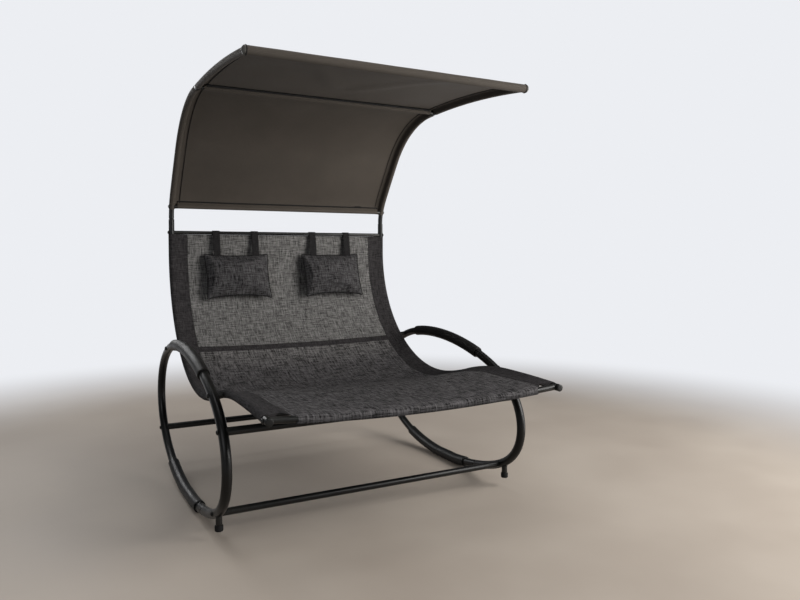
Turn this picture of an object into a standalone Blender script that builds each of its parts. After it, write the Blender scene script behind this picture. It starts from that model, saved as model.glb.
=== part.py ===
"""Two-person rocking lounger: a fabric sling between bent side rails, carried by two
rocker hoops, with a lift-off sun canopy and two head pillows that hang from the top bar.

Metres, +Z up, the front faces -Y, left is -X. The origin is the middle of the footprint,
on the floor. Nearly every piece is a round section swept along a path: a profile lists
(place on the path, radius), and a path turns a place into a centre and two section axes.
"""
import math

import bmesh
import bpy
import numpy as np
from mathutils import Vector
from mathutils.geometry import intersect_line_line_2d

# ---- driving dimensions ----
HOOP_X = 0.656            # rocker hoops, left and right of the middle
RAIL_X = 0.600            # sling rails and canopy rails

HOOP_CENTRE_Y = 0.1515
# The rocker hoop's centreline as (Y, Z) from its centre, every 30 degrees of the way round from
# its rear end: a long flat rocker below, a crest at the back, and a slope down to the nose.
HOOP_OUTLINE = [(0.644, 0.032), (0.554, 0.196), (0.316, 0.300), (-0.014, 0.312),
                (-0.334, 0.248), (-0.568, 0.126), (-0.648, -0.046), (-0.562, -0.200),
                (-0.318, -0.288), (0.016, -0.314), (0.340, -0.263), (0.570, -0.138)]
LOWEST_HOOP_ANGLE = 266.06

HOOP_R = 0.0190           # outer radii
RAIL_R = 0.0140
CANOPY_RAIL_R = 0.0117
BAR_R = 0.0155
LOW_BAR_R = 0.0140
FRONT_BAR_R = 0.0125
TOP_BAR_R = 0.0090
CANOPY_BAR_R = 0.0090
CANOPY_ROLL_R = 0.0155
POST_R = 0.0125
ARMREST_R = 0.0260
FLOOR_SLEEVE_R = 0.0250
HOOP_WALL = 0.0013
RAIL_WALL = 0.0013
BAR_WALL = 0.0012
END_WALL = 0.0040         # a bar's closed end, which its bolt screws into

# Side rails as a tube bender reads them: (length along the tube, turn in degrees).
RAIL_START = (-0.8112, 0.5363)
RAIL_HEADING = 3.7
RAIL_BENDS = [(0.352, -3.4), (0.305, -16.6), (0.186, 8.3),
              (0.651, 54.9), (0.454, 43.1), (0.160, 0.0)]
SOCKET_LENGTH = 0.067     # rail above the top bar, which the canopy plugs into
FRONT_BAR_AT = 0.024      # distance along the rail
CANOPY_BENDS = [(0.070, 0.0), (0.045, 17.0), (0.094, 17.5),
                (0.255, 2.5), (0.437, 49.5), (0.770, 10.0)]
CANOPY_HEM_AT = 0.115     # the cloth's lower edge, where the second bend starts
CANOPY_BAR_AT = 0.129
CANOPY_MID_BAR_AT = 0.950

REAR_BAR_ANGLE = 329.0    # crossbars, by angle round the hoop from its rear end
MID_BAR_ANGLE = 156.0
LOW_BAR_ANGLE = 219.7
POST_ANGLE = 215.5
FOOT_HEIGHT = 0.044       # the stop foot's tip hangs this far above the floor at rest
POST_WALL = 0.002
TIP_FLOOR = 0.005
TIP_HEIGHT = 0.022
TIP_R = 0.0160
TIP_EDGE = 0.002

FRONT_BAR_BOW = 0.024     # how far the bar under the knees bows down
SLING_THICKNESS = 0.003
SLING_SAG = 0.014
SLING_EASE = 0.200        # the slack grows over this length from each end
SLING_MARGIN = 0.002      # between the sheet's edge and a tube
HEM_MARGIN = 0.005
CANOPY_THICKNESS = 0.003
CANOPY_HALF_WIDTH = 0.612

PILLOW_X = 0.270          # middle of each pillow
PILLOW_HALF_WIDTH = 0.166
PILLOW_TOP = (-0.018, -0.118)     # (Y, Z) from the top bar's axis
PILLOW_BOTTOM = (-0.090, -0.338)
PILLOW_FRONT_BULGE = 0.046
PILLOW_BACK_BULGE = 0.022
PILLOW_RIM = 0.004
STRAP_SPACING = 0.208
STRAP_WIDTH = 0.038
STRAP_THICKNESS = 0.003
STRAP_DROP = 0.001        # from the bar's underside to where the strap leaves its loop

GAP = 0.0003              # between pieces that touch
SLIDE_GAP = 0.0006        # round a piece that slides or turns
BOLT_R = 0.0040
BOLT_HOLE_R = 0.0045
BOLT_HEAD_R = 0.0080
BOLT_HEAD_HEIGHT = 0.0045
BOLT_GRIP = 0.016         # how far a bolt reaches past the tube it fastens
HOOP_BOLT_GRIP = 0.020
RAIL_BOLT_REACH = 0.004   # past the rail's middle, for the joints between hoop and rail
DRILL_LEAD = 0.005        # a drill starts and ends this far outside the tube
SPACER_R = 0.011
PLUG_RIM = 0.003          # end plugs: what shows, its rounded edge, and the part inside
PLUG_EDGE = 0.001
PLUG_DEPTH = 0.014

TUBE_SIDES = 12           # both counts divide by four, so flats face X and the section's
BAR_SIDES = 8             # other axis
BOLT_SIDES = 6
HOOP_STEPS = 40           # sections round a hoop
FLOOR_FLAT = 14.0         # degrees of hoop that stand flat on the floor
BEND_STEP = 8.5           # most degrees between a bent tube's sections
TUBE_FLAT = math.cos(math.pi / TUBE_SIDES)
BAR_FLAT = math.cos(math.pi / BAR_SIDES)

SIDES = {"left": -1, "right": 1}
X_AXIS = Vector((1, 0, 0))
UP = Vector((0, 0, 1))

# ---- materials: colour, roughness, metallic ----
FINISHES = {
    "black_tube": ((0.014, 0.014, 0.013), 0.38, 0.30),
    "armrest_foam": ((0.020, 0.019, 0.018), 0.62, 0.0),
    "black_plastic": ((0.018, 0.018, 0.018), 0.50, 0.0),
    "rubber": ((0.012, 0.012, 0.012), 0.85, 0.0),
    "bolt_steel": ((0.030, 0.030, 0.032), 0.35, 0.9),
    "sling_mesh": ((0.095, 0.093, 0.090), 0.85, 0.0),
    "canopy_cloth": ((0.058, 0.050, 0.041), 0.88, 0.0),
    "pillow_cloth": ((0.045, 0.043, 0.044), 0.90, 0.0),
    "strap_webbing": ((0.026, 0.025, 0.026), 0.88, 0.0),
}


def clear_scene():
    for old in list(bpy.data.objects):
        bpy.data.objects.remove(old, do_unlink=True)


def finish(name):
    """The shared Principled material of that name."""
    if name in bpy.data.materials:
        return bpy.data.materials[name]
    colour, roughness, metallic = FINISHES[name]
    made = bpy.data.materials.new(name)
    made.use_nodes = True
    shader = made.node_tree.nodes["Principled BSDF"]
    shader.inputs["Base Color"].default_value = (*colour, 1.0)
    shader.inputs["Roughness"].default_value = roughness
    shader.inputs["Metallic"].default_value = metallic
    return made


def make_object(name, points, faces, material, parent=None):
    """One closed mesh, faces outward, drawn from its parent's place if it has one."""
    origin = parent.location if parent else Vector()
    mesh = bpy.data.meshes.new(name)
    mesh.from_pydata([tuple(point - origin) for point in points], [], faces)
    shape = bmesh.new()
    shape.from_mesh(mesh)
    bmesh.ops.recalc_face_normals(shape, faces=shape.faces)
    shape.to_mesh(mesh)
    shape.free()
    mesh.materials.append(finish(material))
    mesh.shade_smooth()
    mesh.set_sharp_from_angle(angle=math.radians(40))
    made = bpy.data.objects.new(name, mesh)
    made.parent = parent
    bpy.context.scene.collection.objects.link(made)
    return made


def pivot(name, place):
    """An empty on a joint's axis, for the moving pieces to hang from."""
    empty = bpy.data.objects.new(name, None)
    empty.location = place
    bpy.context.scene.collection.objects.link(empty)
    return empty


# ---- paths ----
def outline_slopes():
    """Slopes at the outline's points that make the closed cubic curve through them smooth."""
    outline = np.array(HOOP_OUTLINE)
    alone = np.eye(len(outline))
    weights = 4 * alone + np.roll(alone, 1, 0) + np.roll(alone, -1, 0)
    return np.linalg.solve(weights, 3 * (np.roll(outline, -1, 0) - np.roll(outline, 1, 0)))


def hoop_point(angle):
    """Offset and direction of the hoop's centreline, at an angle counted along its outline."""
    count = len(HOOP_OUTLINE)
    place = angle * count / 360
    here, part = math.floor(place) % count, place % 1
    there = (here + 1) % count
    start, end = (np.array(HOOP_OUTLINE[index]) for index in (here, there))
    leaving, arriving = HOOP_SLOPES[here], HOOP_SLOPES[there]
    bend = 3 * (end - start) - 2 * leaving - arriving
    twist = 2 * (start - end) + leaving + arriving
    offset = start + part * (leaving + part * (bend + part * twist))
    return offset, leaving + part * (2 * bend + 3 * part * twist)


def hoop_path(x):
    """Round the rocker hoop, which stands in a YZ plane; places are hoop angles in degrees."""
    def at(angle):
        offset, run = hoop_point(angle)
        centre = Vector((x, HOOP_CENTRE_Y + offset[0], HOOP_CENTRE_Z + offset[1]))
        return centre, X_AXIS, Vector((0, -run[1], run[0])).normalized()
    return at


def hoop_angle(steps):
    """Section angles: the flat on the floor runs from -1 to 0, and the rest are evenly spaced."""
    spacing = (360 - FLOOR_FLAT) / (HOOP_STEPS - 1)
    if steps < 0:
        return LOWEST_HOOP_ANGLE - FLOOR_FLAT / 2 + (steps + 1) * spacing
    return LOWEST_HOOP_ANGLE + FLOOR_FLAT / 2 + steps * spacing


def bent_path(x, start, heading, bends):
    """A tube bent in the YZ plane; places are distances along it."""
    def at(distance):
        y, z = start
        facing = math.radians(heading)
        left_over = distance
        for length, turn in bends:
            part = min(left_over, length)
            angle = math.radians(turn) * part / length
            chord = part * math.sin(angle / 2) / (angle / 2) if angle else part
            y += chord * math.cos(facing + angle / 2)
            z += chord * math.sin(facing + angle / 2)
            facing += angle
            left_over -= part
            if left_over <= 0:
                break
        outward = Vector((0, math.sin(facing), -math.cos(facing)))
        return Vector((x, y, z)), X_AXIS, outward
    return at


def rail_path(x):
    return bent_path(x, RAIL_START, RAIL_HEADING, RAIL_BENDS)


def canopy_path(x):
    plug = rail_path(x)(TOP_BAR_AT + BOLT_R + 2 * GAP)[0]
    return bent_path(x, (plug.y, plug.z), 90.0, CANOPY_BENDS)


def bar_path(y, z, bow=0.0, half_width=1.0):
    """Across the bench; places are X. A bowed bar sags towards its middle."""
    def at(x):
        drop = bow * (1 - (x / half_width) ** 2)
        return Vector((x, y, z - drop)), Vector((0, 1, 0)), UP
    return at


def straight_path(base, axis):
    """From a base point along an axis; places are distances from the base."""
    first = axis.orthogonal().normalized()
    if abs(axis.x) < 0.5:
        first = X_AXIS
    second = axis.cross(first).normalized()
    return lambda distance: (base + axis * distance, first, second)


def stops(first, last, most):
    count = math.ceil((last - first) / most)
    return [first + (last - first) * step / count for step in range(count + 1)]


def bend_stops(bends, first, last):
    """Places for a bent tube's sections: both ends, the start of each bend, and between."""
    places, begin = [], 0.0
    for length, turn in bends:
        count = max(1, math.ceil(abs(turn) / BEND_STEP))
        places += [begin + length * step / count for step in range(count)]
        begin += length
    return [first] + [place for place in places if first + GAP < place < last - GAP] + [last]


# The flat under the floor sleeve is at zero height.
HOOP_SLOPES = outline_slopes()
HOOP_CENTRE_Z = FLOOR_SLEEVE_R * TUBE_FLAT - hoop_point(hoop_angle(0))[0][1]
RAIL_LENGTH = sum(length for length, turn in RAIL_BENDS)
CANOPY_RAIL_LENGTH = sum(length for length, turn in CANOPY_BENDS)
TOP_BAR_AT = RAIL_LENGTH - SOCKET_LENGTH


# ---- shapes ----
def sweep(name, path, profile, material, sides=TUBE_SIDES, parent=None):
    """Round sections along a path. A profile that starts and ends at radius 0 is solid;
    any other closes on itself and leaves its bore open."""
    points, rings = [], []
    for place, radius in profile:
        centre, first, second = path(place)
        count = sides if radius else 1
        rings.append(range(len(points), len(points) + count))
        for corner in range(count):
            turn = 2 * math.pi * (corner + 0.5) / sides
            points.append(centre + radius * (math.cos(turn) * first + math.sin(turn) * second))
    pairs = list(zip(rings, rings[1:]))
    if profile[0][1]:
        pairs.append((rings[-1], rings[0]))
    faces = []
    for here, there in pairs:
        for corner in range(sides):
            following = (corner + 1) % sides
            face = [here[corner % len(here)], here[following % len(here)],
                    there[following % len(there)], there[corner % len(there)]]
            faces.append(list(dict.fromkeys(face)))
    return make_object(name, points, faces, material, parent)


def open_tube(places, outer, wall):
    """Profile of a tube with open ends."""
    return [(place, outer) for place in places] + [(place, outer - wall) for place in reversed(places)]


def closed_bar(places, outer, wall, hole):
    """Profile of a tube whose thick ends hold one bolt each."""
    first, last = places[0], places[-1]
    inside = [place for place in places if first + END_WALL < place < last - END_WALL]
    bore = outer - wall
    return ([(place, outer) for place in places]
            + [(last, hole), (last - END_WALL, hole), (last - END_WALL, bore)]
            + [(place, bore) for place in reversed(inside)]
            + [(first + END_WALL, bore), (first + END_WALL, hole), (first, hole)])


def slab(name, front, back, material, parent=None):
    """A closed sheet between two grids of points that share their rows and columns."""
    rows, columns = len(front), len(front[0])
    points = [point for grid in (front, back) for row in grid for point in row]

    def index(layer, row, column):
        return (layer * rows + row) * columns + column

    faces = []
    for layer in (0, 1):
        for row in range(rows - 1):
            for column in range(columns - 1):
                faces.append([index(layer, row, column), index(layer, row, column + 1),
                              index(layer, row + 1, column + 1), index(layer, row + 1, column)])
    rim = [(0, column) for column in range(columns - 1)]
    rim += [(row, columns - 1) for row in range(rows - 1)]
    rim += [(rows - 1, column) for column in range(columns - 1, 0, -1)]
    rim += [(row, 0) for row in range(rows - 1, 0, -1)]
    for here, there in zip(rim, rim[1:] + rim[:1]):
        faces.append([index(0, *here), index(0, *there), index(1, *there), index(1, *here)])
    return make_object(name, points, faces, material, parent)


def cut_away(target, cutter):
    """Take the cutter's shape out of the target, and keep the cutter out of sight."""
    cutter.hide_render = True
    cutter.display_type = "WIRE"
    cut = target.modifiers.new(cutter.name, "BOOLEAN")
    cut.operation = "DIFFERENCE"
    cut.solver = "EXACT"
    cut.object = cutter


def drill(target, label, start, axis, depth):
    """A bolt hole through the target, from just outside a start point to just past a depth."""
    ends = -DRILL_LEAD, depth + DRILL_LEAD
    profile = [(ends[0], 0), (ends[0], BOLT_HOLE_R), (ends[1], BOLT_HOLE_R), (ends[1], 0)]
    path = straight_path(start, axis)
    cut_away(target, sweep(f"{target.name}_drill_{label}", path, profile, "bolt_steel", BOLT_SIDES))


def bolt(name, seat, axis, length, parent=None):
    """A button-head bolt: its head rests on the seat and its shank runs along the axis."""
    path = straight_path(seat - axis * GAP, axis)
    profile = [(-BOLT_HEAD_HEIGHT, 0), (-BOLT_HEAD_HEIGHT, 0.6 * BOLT_HEAD_R),
               (-0.4 * BOLT_HEAD_HEIGHT, BOLT_HEAD_R), (0, BOLT_HEAD_R), (0, BOLT_R),
               (length, BOLT_R), (length, 0)]
    return sweep(name, path, profile, "bolt_steel", BOLT_SIDES, parent)


def end_plug(name, end, axis, radius, bore, parent=None):
    """A plug in a tube's end: the axis points out of the tube."""
    profile = [(PLUG_RIM, 0), (PLUG_RIM, radius - PLUG_EDGE), (GAP, radius), (GAP, bore - GAP),
               (-PLUG_DEPTH, bore - GAP), (-PLUG_DEPTH, 0)]
    return sweep(name, straight_path(end, axis), profile, "black_plastic", BAR_SIDES, parent)


# ---- rocker hoops ----
def hoop_crossings():
    """Where the sling rail crosses the hoop in side view: front first, then rear."""
    hoop = [hoop_path(0)(hoop_angle(step))[0].yz for step in range(HOOP_STEPS + 1)]
    rail = [rail_path(0)(place)[0].yz for place in bend_stops(RAIL_BENDS, 0, RAIL_LENGTH)]
    found = []
    for here, there in zip(rail, rail[1:]):
        for low, high in zip(hoop, hoop[1:]):
            meeting = intersect_line_line_2d(here, there, low, high)
            if meeting:
                found.append(meeting)
    return found[0], found[-1]


def make_hoop(side, sign):
    """Two bent tubes; the front one is necked down at both ends and plugs into the rear one."""
    x = sign * HOOP_X
    path = hoop_path(x)
    bottom, top = -3, -19          # joints, in hoop steps; the top one hides in the armrest
    bore = HOOP_R - HOOP_WALL
    neck = bore - 1.2 * GAP
    tight = neck - HOOP_WALL
    shoulder = 0.5                 # degrees of thick wall behind each neck
    middle = [hoop_angle(step) for step in range(top + 1, bottom)]
    ends = hoop_angle(top), hoop_angle(bottom)
    outer = ([(hoop_angle(top - 1), neck), (ends[0], neck), (ends[0], HOOP_R)]
             + [(place, HOOP_R) for place in middle]
             + [(ends[1], HOOP_R), (ends[1], neck), (hoop_angle(bottom + 1), neck)])
    inner = ([(hoop_angle(bottom + 1), tight), (ends[1] - shoulder, tight), (ends[1] - shoulder, bore)]
             + [(place, bore) for place in reversed(middle)]
             + [(ends[0] + shoulder, bore), (ends[0] + shoulder, tight), (hoop_angle(top - 1), tight)])
    front = sweep(f"hoop_front_{side}", path, outer + inner, "black_tube")

    places = [hoop_angle(step) for step in range(bottom, top + HOOP_STEPS + 1)]
    clearance = 0.05               # degrees, half a millimetre at the joint
    places[0] += clearance
    places[-1] -= clearance
    rear = sweep(f"hoop_rear_{side}", path, open_tube(places, HOOP_R, HOOP_WALL), "black_tube")

    sleeve_bore = HOOP_R + 1.5 * GAP
    for name, radius, steps, material in (
            ("armrest_sleeve", ARMREST_R, range(-23, -16), "armrest_foam"),
            ("floor_sleeve", FLOOR_SLEEVE_R, range(-2, 4), "black_plastic")):
        profile = open_tube([hoop_angle(step) for step in steps], radius, radius - sleeve_bore)
        sweep(f"{name}_{side}", path, profile, material)
    return front, rear


def make_stop_foot(side, sign):
    """A post under the hoop's nose that stops the forward rock, with a rubber tip."""
    path = hoop_path(sign * HOOP_X)
    top = path(POST_ANGLE)[0]
    foot = Vector((top.x, top.y, FOOT_HEIGHT + TIP_FLOOR + GAP))
    profile = open_tube([0, top.z - foot.z], POST_R, POST_WALL)
    post = sweep(f"stop_post_{side}", straight_path(foot, UP), profile, "black_tube", BAR_SIDES)
    reach = [hoop_angle(step) for step in range(-8, -4)]
    profile = [(reach[0], 0)] + [(place, HOOP_R + GAP) for place in reach] + [(reach[-1], 0)]
    cut_away(post, sweep(f"saddle_{side}", path, profile, "black_tube"))
    bore = POST_R + GAP
    profile = [(0, 0), (0, TIP_R - TIP_EDGE), (1.5 * TIP_EDGE, TIP_R), (TIP_HEIGHT, TIP_R),
               (TIP_HEIGHT, bore), (TIP_FLOOR, bore), (TIP_FLOOR, 0)]
    path = straight_path(Vector((top.x, top.y, FOOT_HEIGHT)), UP)
    sweep(f"stop_tip_{side}", path, profile, "rubber", BAR_SIDES)


def make_crossbar(name, angle, radius, hoops):
    """A bar between the hoops, with one bolt through each hoop into its thick end."""
    spot = hoop_path(0)(angle)[0]
    half = HOOP_X - HOOP_R * TUBE_FLAT - GAP
    profile = closed_bar([-half, half], radius, BAR_WALL, BOLT_HOLE_R)
    sweep(name, bar_path(spot.y, spot.z), profile, "black_tube", BAR_SIDES)
    for side, sign in SIDES.items():
        inward = Vector((-sign, 0, 0))
        seat = Vector((sign * (HOOP_X + HOOP_R * TUBE_FLAT), spot.y, spot.z))
        bolt(f"{name}_bolt_{side}", seat, inward, 2 * HOOP_R + HOOP_BOLT_GRIP)
        drill(hoops[side], name, seat, inward, 2 * HOOP_R)


# ---- sling frame ----
def make_rail(side, sign):
    """The bent side tube of the seat and back, with a plug in its front end."""
    path = rail_path(sign * RAIL_X)
    profile = open_tube(bend_stops(RAIL_BENDS, 0, RAIL_LENGTH), RAIL_R, RAIL_WALL)
    rail = sweep(f"sling_rail_{side}", path, profile, "black_tube")
    end, _, outward = path(0)
    bore = (RAIL_R - RAIL_WALL) * TUBE_FLAT
    end_plug(f"rail_cap_{side}", end, -X_AXIS.cross(outward), RAIL_R, bore)
    return rail


def make_rail_joint(side, sign, place, name, hoop, rail):
    """A spacer between hoop and rail where they cross, and the bolt through all three."""
    inward = Vector((-sign, 0, 0))
    hoop_inside = HOOP_X - HOOP_R * TUBE_FLAT - GAP
    rail_outside = RAIL_X + RAIL_R * TUBE_FLAT + GAP
    path = straight_path(Vector((sign * hoop_inside, *place)), inward)
    profile = open_tube([0, hoop_inside - rail_outside], SPACER_R, SPACER_R - BOLT_HOLE_R)
    sweep(f"{name}_spacer_{side}", path, profile, "black_plastic", BAR_SIDES)
    seat = Vector((sign * (HOOP_X + HOOP_R * TUBE_FLAT), *place))
    bolt(f"{name}_bolt_{side}", seat, inward, seat.x * sign - RAIL_X - RAIL_BOLT_REACH)
    drill(hoop, name, seat, inward, 2 * HOOP_R)
    outer_wall = Vector((sign * (RAIL_X + RAIL_R), *place))
    drill(rail, name, outer_wall, inward, RAIL_R - RAIL_BOLT_REACH - DRILL_LEAD)


def make_rail_bar(name, place, radius, rails, bow=0.0, sections=1):
    """A bar between the rails, with one bolt through each rail."""
    spot = rail_path(0)(place)[0]
    half = RAIL_X - RAIL_R * TUBE_FLAT - GAP
    profile = closed_bar(stops(-half, half, 2 * half / sections), radius, BAR_WALL, BOLT_HOLE_R)
    sweep(name, bar_path(spot.y, spot.z, bow, half), profile, "black_tube", BAR_SIDES)
    for side, sign in SIDES.items():
        inward = Vector((-sign, 0, 0))
        seat = Vector((sign * (RAIL_X + RAIL_R * TUBE_FLAT), spot.y, spot.z))
        bolt(f"{name}_bolt_{side}", seat, inward, 2 * RAIL_R + BOLT_GRIP)
        drill(rails[side], name, seat, inward, 2 * RAIL_R)
    return spot


def make_sling():
    """The one piece of seat and back fabric, a little slack between the rails."""
    half = RAIL_X - RAIL_R - SLING_MARGIN
    columns = stops(-half, half, 2 * half / 6)
    first = FRONT_BAR_AT + FRONT_BAR_R + HEM_MARGIN
    last = TOP_BAR_AT - TOP_BAR_R - STRAP_THICKNESS - SLIDE_GAP - SLING_MARGIN
    front, back = [], []
    for place in bend_stops(RAIL_BENDS, first, last):
        centre, _, outward = rail_path(0)(place)
        ease = min(1.0, (place - first) / SLING_EASE, (last - place) / SLING_EASE)
        for grid, level in ((front, -SLING_THICKNESS / 2), (back, SLING_THICKNESS / 2)):
            grid.append([Vector((x, centre.y, centre.z))
                         + outward * (level + ease * SLING_SAG * (1 - (x / half) ** 2)) for x in columns])
    slab("sling_fabric", front, back, "sling_mesh")


# ---- canopy ----
def make_canopy(parent):
    """Two bent rails, three bars and one curved sheet, which lift out of the rail sockets."""
    rails = {}
    for side, sign in SIDES.items():
        profile = open_tube(bend_stops(CANOPY_BENDS, 0, CANOPY_RAIL_LENGTH), CANOPY_RAIL_R, BAR_WALL)
        rails[side] = sweep(f"canopy_rail_{side}", canopy_path(sign * RAIL_X), profile,
                            "black_tube", BAR_SIDES, parent)
    half = RAIL_X - CANOPY_RAIL_R * BAR_FLAT - GAP
    for name, place in (("canopy_low_bar", CANOPY_BAR_AT), ("canopy_mid_bar", CANOPY_MID_BAR_AT)):
        spot = canopy_path(0)(place)[0]
        profile = closed_bar([-half, half], CANOPY_BAR_R, BAR_WALL, BOLT_HOLE_R)
        sweep(name, bar_path(spot.y, spot.z), profile, "black_tube", BAR_SIDES, parent)
        if name == "canopy_mid_bar":
            continue               # a push fit between the rails, without bolts
        for side, sign in SIDES.items():
            inward = Vector((-sign, 0, 0))
            seat = Vector((sign * (RAIL_X + CANOPY_RAIL_R * BAR_FLAT), spot.y, spot.z))
            bolt(f"{name}_bolt_{side}", seat, inward, 2 * CANOPY_RAIL_R + BOLT_GRIP, parent)
            drill(rails[side], name, seat, inward, 2 * CANOPY_RAIL_R)
    make_canopy_roll(parent)
    make_canopy_sheet(parent)


def make_canopy_roll(parent):
    """The front edge bar: it stands in front of the rails' ends, with a plug in each end."""
    rail_end, _, outward = canopy_path(0)(CANOPY_RAIL_LENGTH)
    spot = rail_end + X_AXIS.cross(outward) * (CANOPY_ROLL_R + GAP)
    profile = open_tube([-CANOPY_HALF_WIDTH, CANOPY_HALF_WIDTH], CANOPY_ROLL_R, BAR_WALL)
    sweep("canopy_front_bar", bar_path(spot.y, spot.z), profile, "black_tube", BAR_SIDES, parent)
    for side, sign in SIDES.items():
        end = Vector((sign * CANOPY_HALF_WIDTH, spot.y, spot.z))
        end_plug(f"canopy_plug_{side}", end, Vector((sign, 0, 0)), CANOPY_ROLL_R,
                 CANOPY_ROLL_R - BAR_WALL, parent)


def make_canopy_sheet(parent):
    """The sun cloth lies over the outside of the canopy rails and bars."""
    columns = stops(-CANOPY_HALF_WIDTH, CANOPY_HALF_WIDTH, CANOPY_HALF_WIDTH / 3)
    underside = CANOPY_RAIL_R + 2 * GAP
    front, back = [], []
    for place in bend_stops(CANOPY_BENDS, CANOPY_HEM_AT, CANOPY_RAIL_LENGTH):
        centre, _, outward = canopy_path(0)(place)
        for grid, level in ((front, underside), (back, underside + CANOPY_THICKNESS)):
            grid.append([Vector((x, centre.y, centre.z)) + outward * level for x in columns])
    slab("canopy_fabric", front, back, "canopy_cloth", parent)


# ---- head pillows ----
def make_pillow(side, sign, axis):
    """A pillow on two straps: the loops slide along the top bar, and the rest swings about it."""
    middle = sign * PILLOW_X
    slider = pivot(f"pillow_slide_{side}", Vector((middle, axis.y, axis.z)))
    hanger = pivot(f"pillow_swing_{side}", Vector((middle, axis.y, axis.z)))
    ring_r = TOP_BAR_R + SLIDE_GAP
    top = axis + Vector((0, *PILLOW_TOP))
    for number, offset in ((1, -STRAP_SPACING / 2), (2, STRAP_SPACING / 2)):
        x = middle + offset
        low, high = x - STRAP_WIDTH / 2, x + STRAP_WIDTH / 2
        profile = open_tube([low, high], ring_r + STRAP_THICKNESS, STRAP_THICKNESS)
        sweep(f"strap_loop_{side}_{number}", bar_path(axis.y, axis.z), profile,
              "strap_webbing", BAR_SIDES, slider)
        head = Vector((0, axis.y - ring_r - STRAP_THICKNESS / 2, axis.z - ring_r - STRAP_DROP))
        lie = Vector((0, top.y, top.z + PILLOW_RIM + GAP))
        make_strap(f"strap_{side}_{number}", (low, high), head, lie, hanger)

    bottom = axis + Vector((0, *PILLOW_BOTTOM))
    down = (bottom - top).normalized()
    facing = X_AXIS.cross(down).normalized()
    if facing.y > 0:
        facing.negate()
    front, back = [], []
    for v in stops(-1, 1, 0.34):
        centre = (top + bottom) / 2 + down * (v * (bottom - top).length / 2)
        for grid, way, bulge in ((front, 1, PILLOW_FRONT_BULGE), (back, -1, PILLOW_BACK_BULGE)):
            grid.append([centre + Vector((middle + u * PILLOW_HALF_WIDTH, 0, 0))
                         + facing * way * (PILLOW_RIM + bulge * (1 - u ** 4) * (1 - v ** 4))
                         for u in stops(-1, 1, 0.34)])
    slab(f"pillow_{side}", front, back, "pillow_cloth", hanger)


def make_strap(name, edges, head, foot, parent):
    """A flat strap between two points, as wide as its edges."""
    along = (foot - head).normalized()
    through = X_AXIS.cross(along).normalized() * STRAP_THICKNESS / 2
    front = [[end + through + Vector((x, 0, 0)) for x in edges] for end in (head, foot)]
    back = [[end - through + Vector((x, 0, 0)) for x in edges] for end in (head, foot)]
    slab(name, front, back, "strap_webbing", parent)


def main():
    clear_scene()
    front_cross, rear_cross = hoop_crossings()
    fronts, rears, rails = {}, {}, {}
    for side, sign in SIDES.items():
        fronts[side], rears[side] = make_hoop(side, sign)
        make_stop_foot(side, sign)
        rails[side] = make_rail(side, sign)
        make_rail_joint(side, sign, front_cross, "front_joint", fronts[side], rails[side])
        make_rail_joint(side, sign, rear_cross, "rear_joint", rears[side], rails[side])
    make_crossbar("rear_bar", REAR_BAR_ANGLE, BAR_R, rears)
    make_crossbar("mid_bar", MID_BAR_ANGLE, BAR_R, fronts)
    make_crossbar("low_bar", LOW_BAR_ANGLE, LOW_BAR_R, fronts)
    make_rail_bar("sling_front_bar", FRONT_BAR_AT, FRONT_BAR_R, rails, FRONT_BAR_BOW, sections=6)
    top_axis = make_rail_bar("sling_top_bar", TOP_BAR_AT, TOP_BAR_R, rails)
    make_sling()
    make_canopy(pivot("canopy_lift", canopy_path(0)(0)[0]))
    for side, sign in SIDES.items():
        make_pillow(side, sign, top_axis)


main()
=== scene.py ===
"""The looks of the two-person rocking lounger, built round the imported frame.

Metres, +Z up, the front faces -Y, left is -X. Tubes, sling and canopy follow the same paths as
the CAD source: a path turns a distance along a bent tube into a centre and the direction away
from the sitter, so a point on a sheet is (x, distance, height over the tube's centreline).
"""
import math

import bmesh
import bpy
import numpy as np
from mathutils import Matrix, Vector


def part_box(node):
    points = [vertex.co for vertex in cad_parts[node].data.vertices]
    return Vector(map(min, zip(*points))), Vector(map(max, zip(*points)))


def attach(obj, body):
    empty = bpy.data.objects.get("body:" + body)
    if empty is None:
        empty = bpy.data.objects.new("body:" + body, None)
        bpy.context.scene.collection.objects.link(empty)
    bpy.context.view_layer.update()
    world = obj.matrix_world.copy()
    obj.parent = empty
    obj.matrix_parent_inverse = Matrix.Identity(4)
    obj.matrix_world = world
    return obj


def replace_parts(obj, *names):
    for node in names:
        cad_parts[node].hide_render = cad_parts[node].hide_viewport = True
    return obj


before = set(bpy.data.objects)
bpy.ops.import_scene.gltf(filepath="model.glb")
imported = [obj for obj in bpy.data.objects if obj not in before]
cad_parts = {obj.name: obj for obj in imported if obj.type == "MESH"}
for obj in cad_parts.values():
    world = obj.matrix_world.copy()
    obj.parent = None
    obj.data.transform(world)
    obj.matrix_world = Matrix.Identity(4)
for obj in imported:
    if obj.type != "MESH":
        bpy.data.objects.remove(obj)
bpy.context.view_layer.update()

# ---- dimensions, as in the CAD source ----
HOOP_X = 0.656
RAIL_X = 0.600
HOOP_CENTRE_Y = 0.1515
HOOP_OUTLINE = [(0.644, 0.032), (0.554, 0.196), (0.316, 0.300), (-0.014, 0.312),
                (-0.334, 0.248), (-0.568, 0.126), (-0.648, -0.046), (-0.562, -0.200),
                (-0.318, -0.288), (0.016, -0.314), (0.340, -0.263), (0.570, -0.138)]
LOWEST_HOOP_ANGLE = 266.06
FLOOR_FLAT = 14.0
HOOP_SPACING = (360 - FLOOR_FLAT) / 39
HOOP_R, RAIL_R, CANOPY_RAIL_R = 0.0190, 0.0140, 0.0117
BAR_R, LOW_BAR_R, FRONT_BAR_R, TOP_BAR_R = 0.0155, 0.0140, 0.0125, 0.0090
CANOPY_BAR_R, CANOPY_ROLL_R, POST_R = 0.0090, 0.0155, 0.0125
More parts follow.
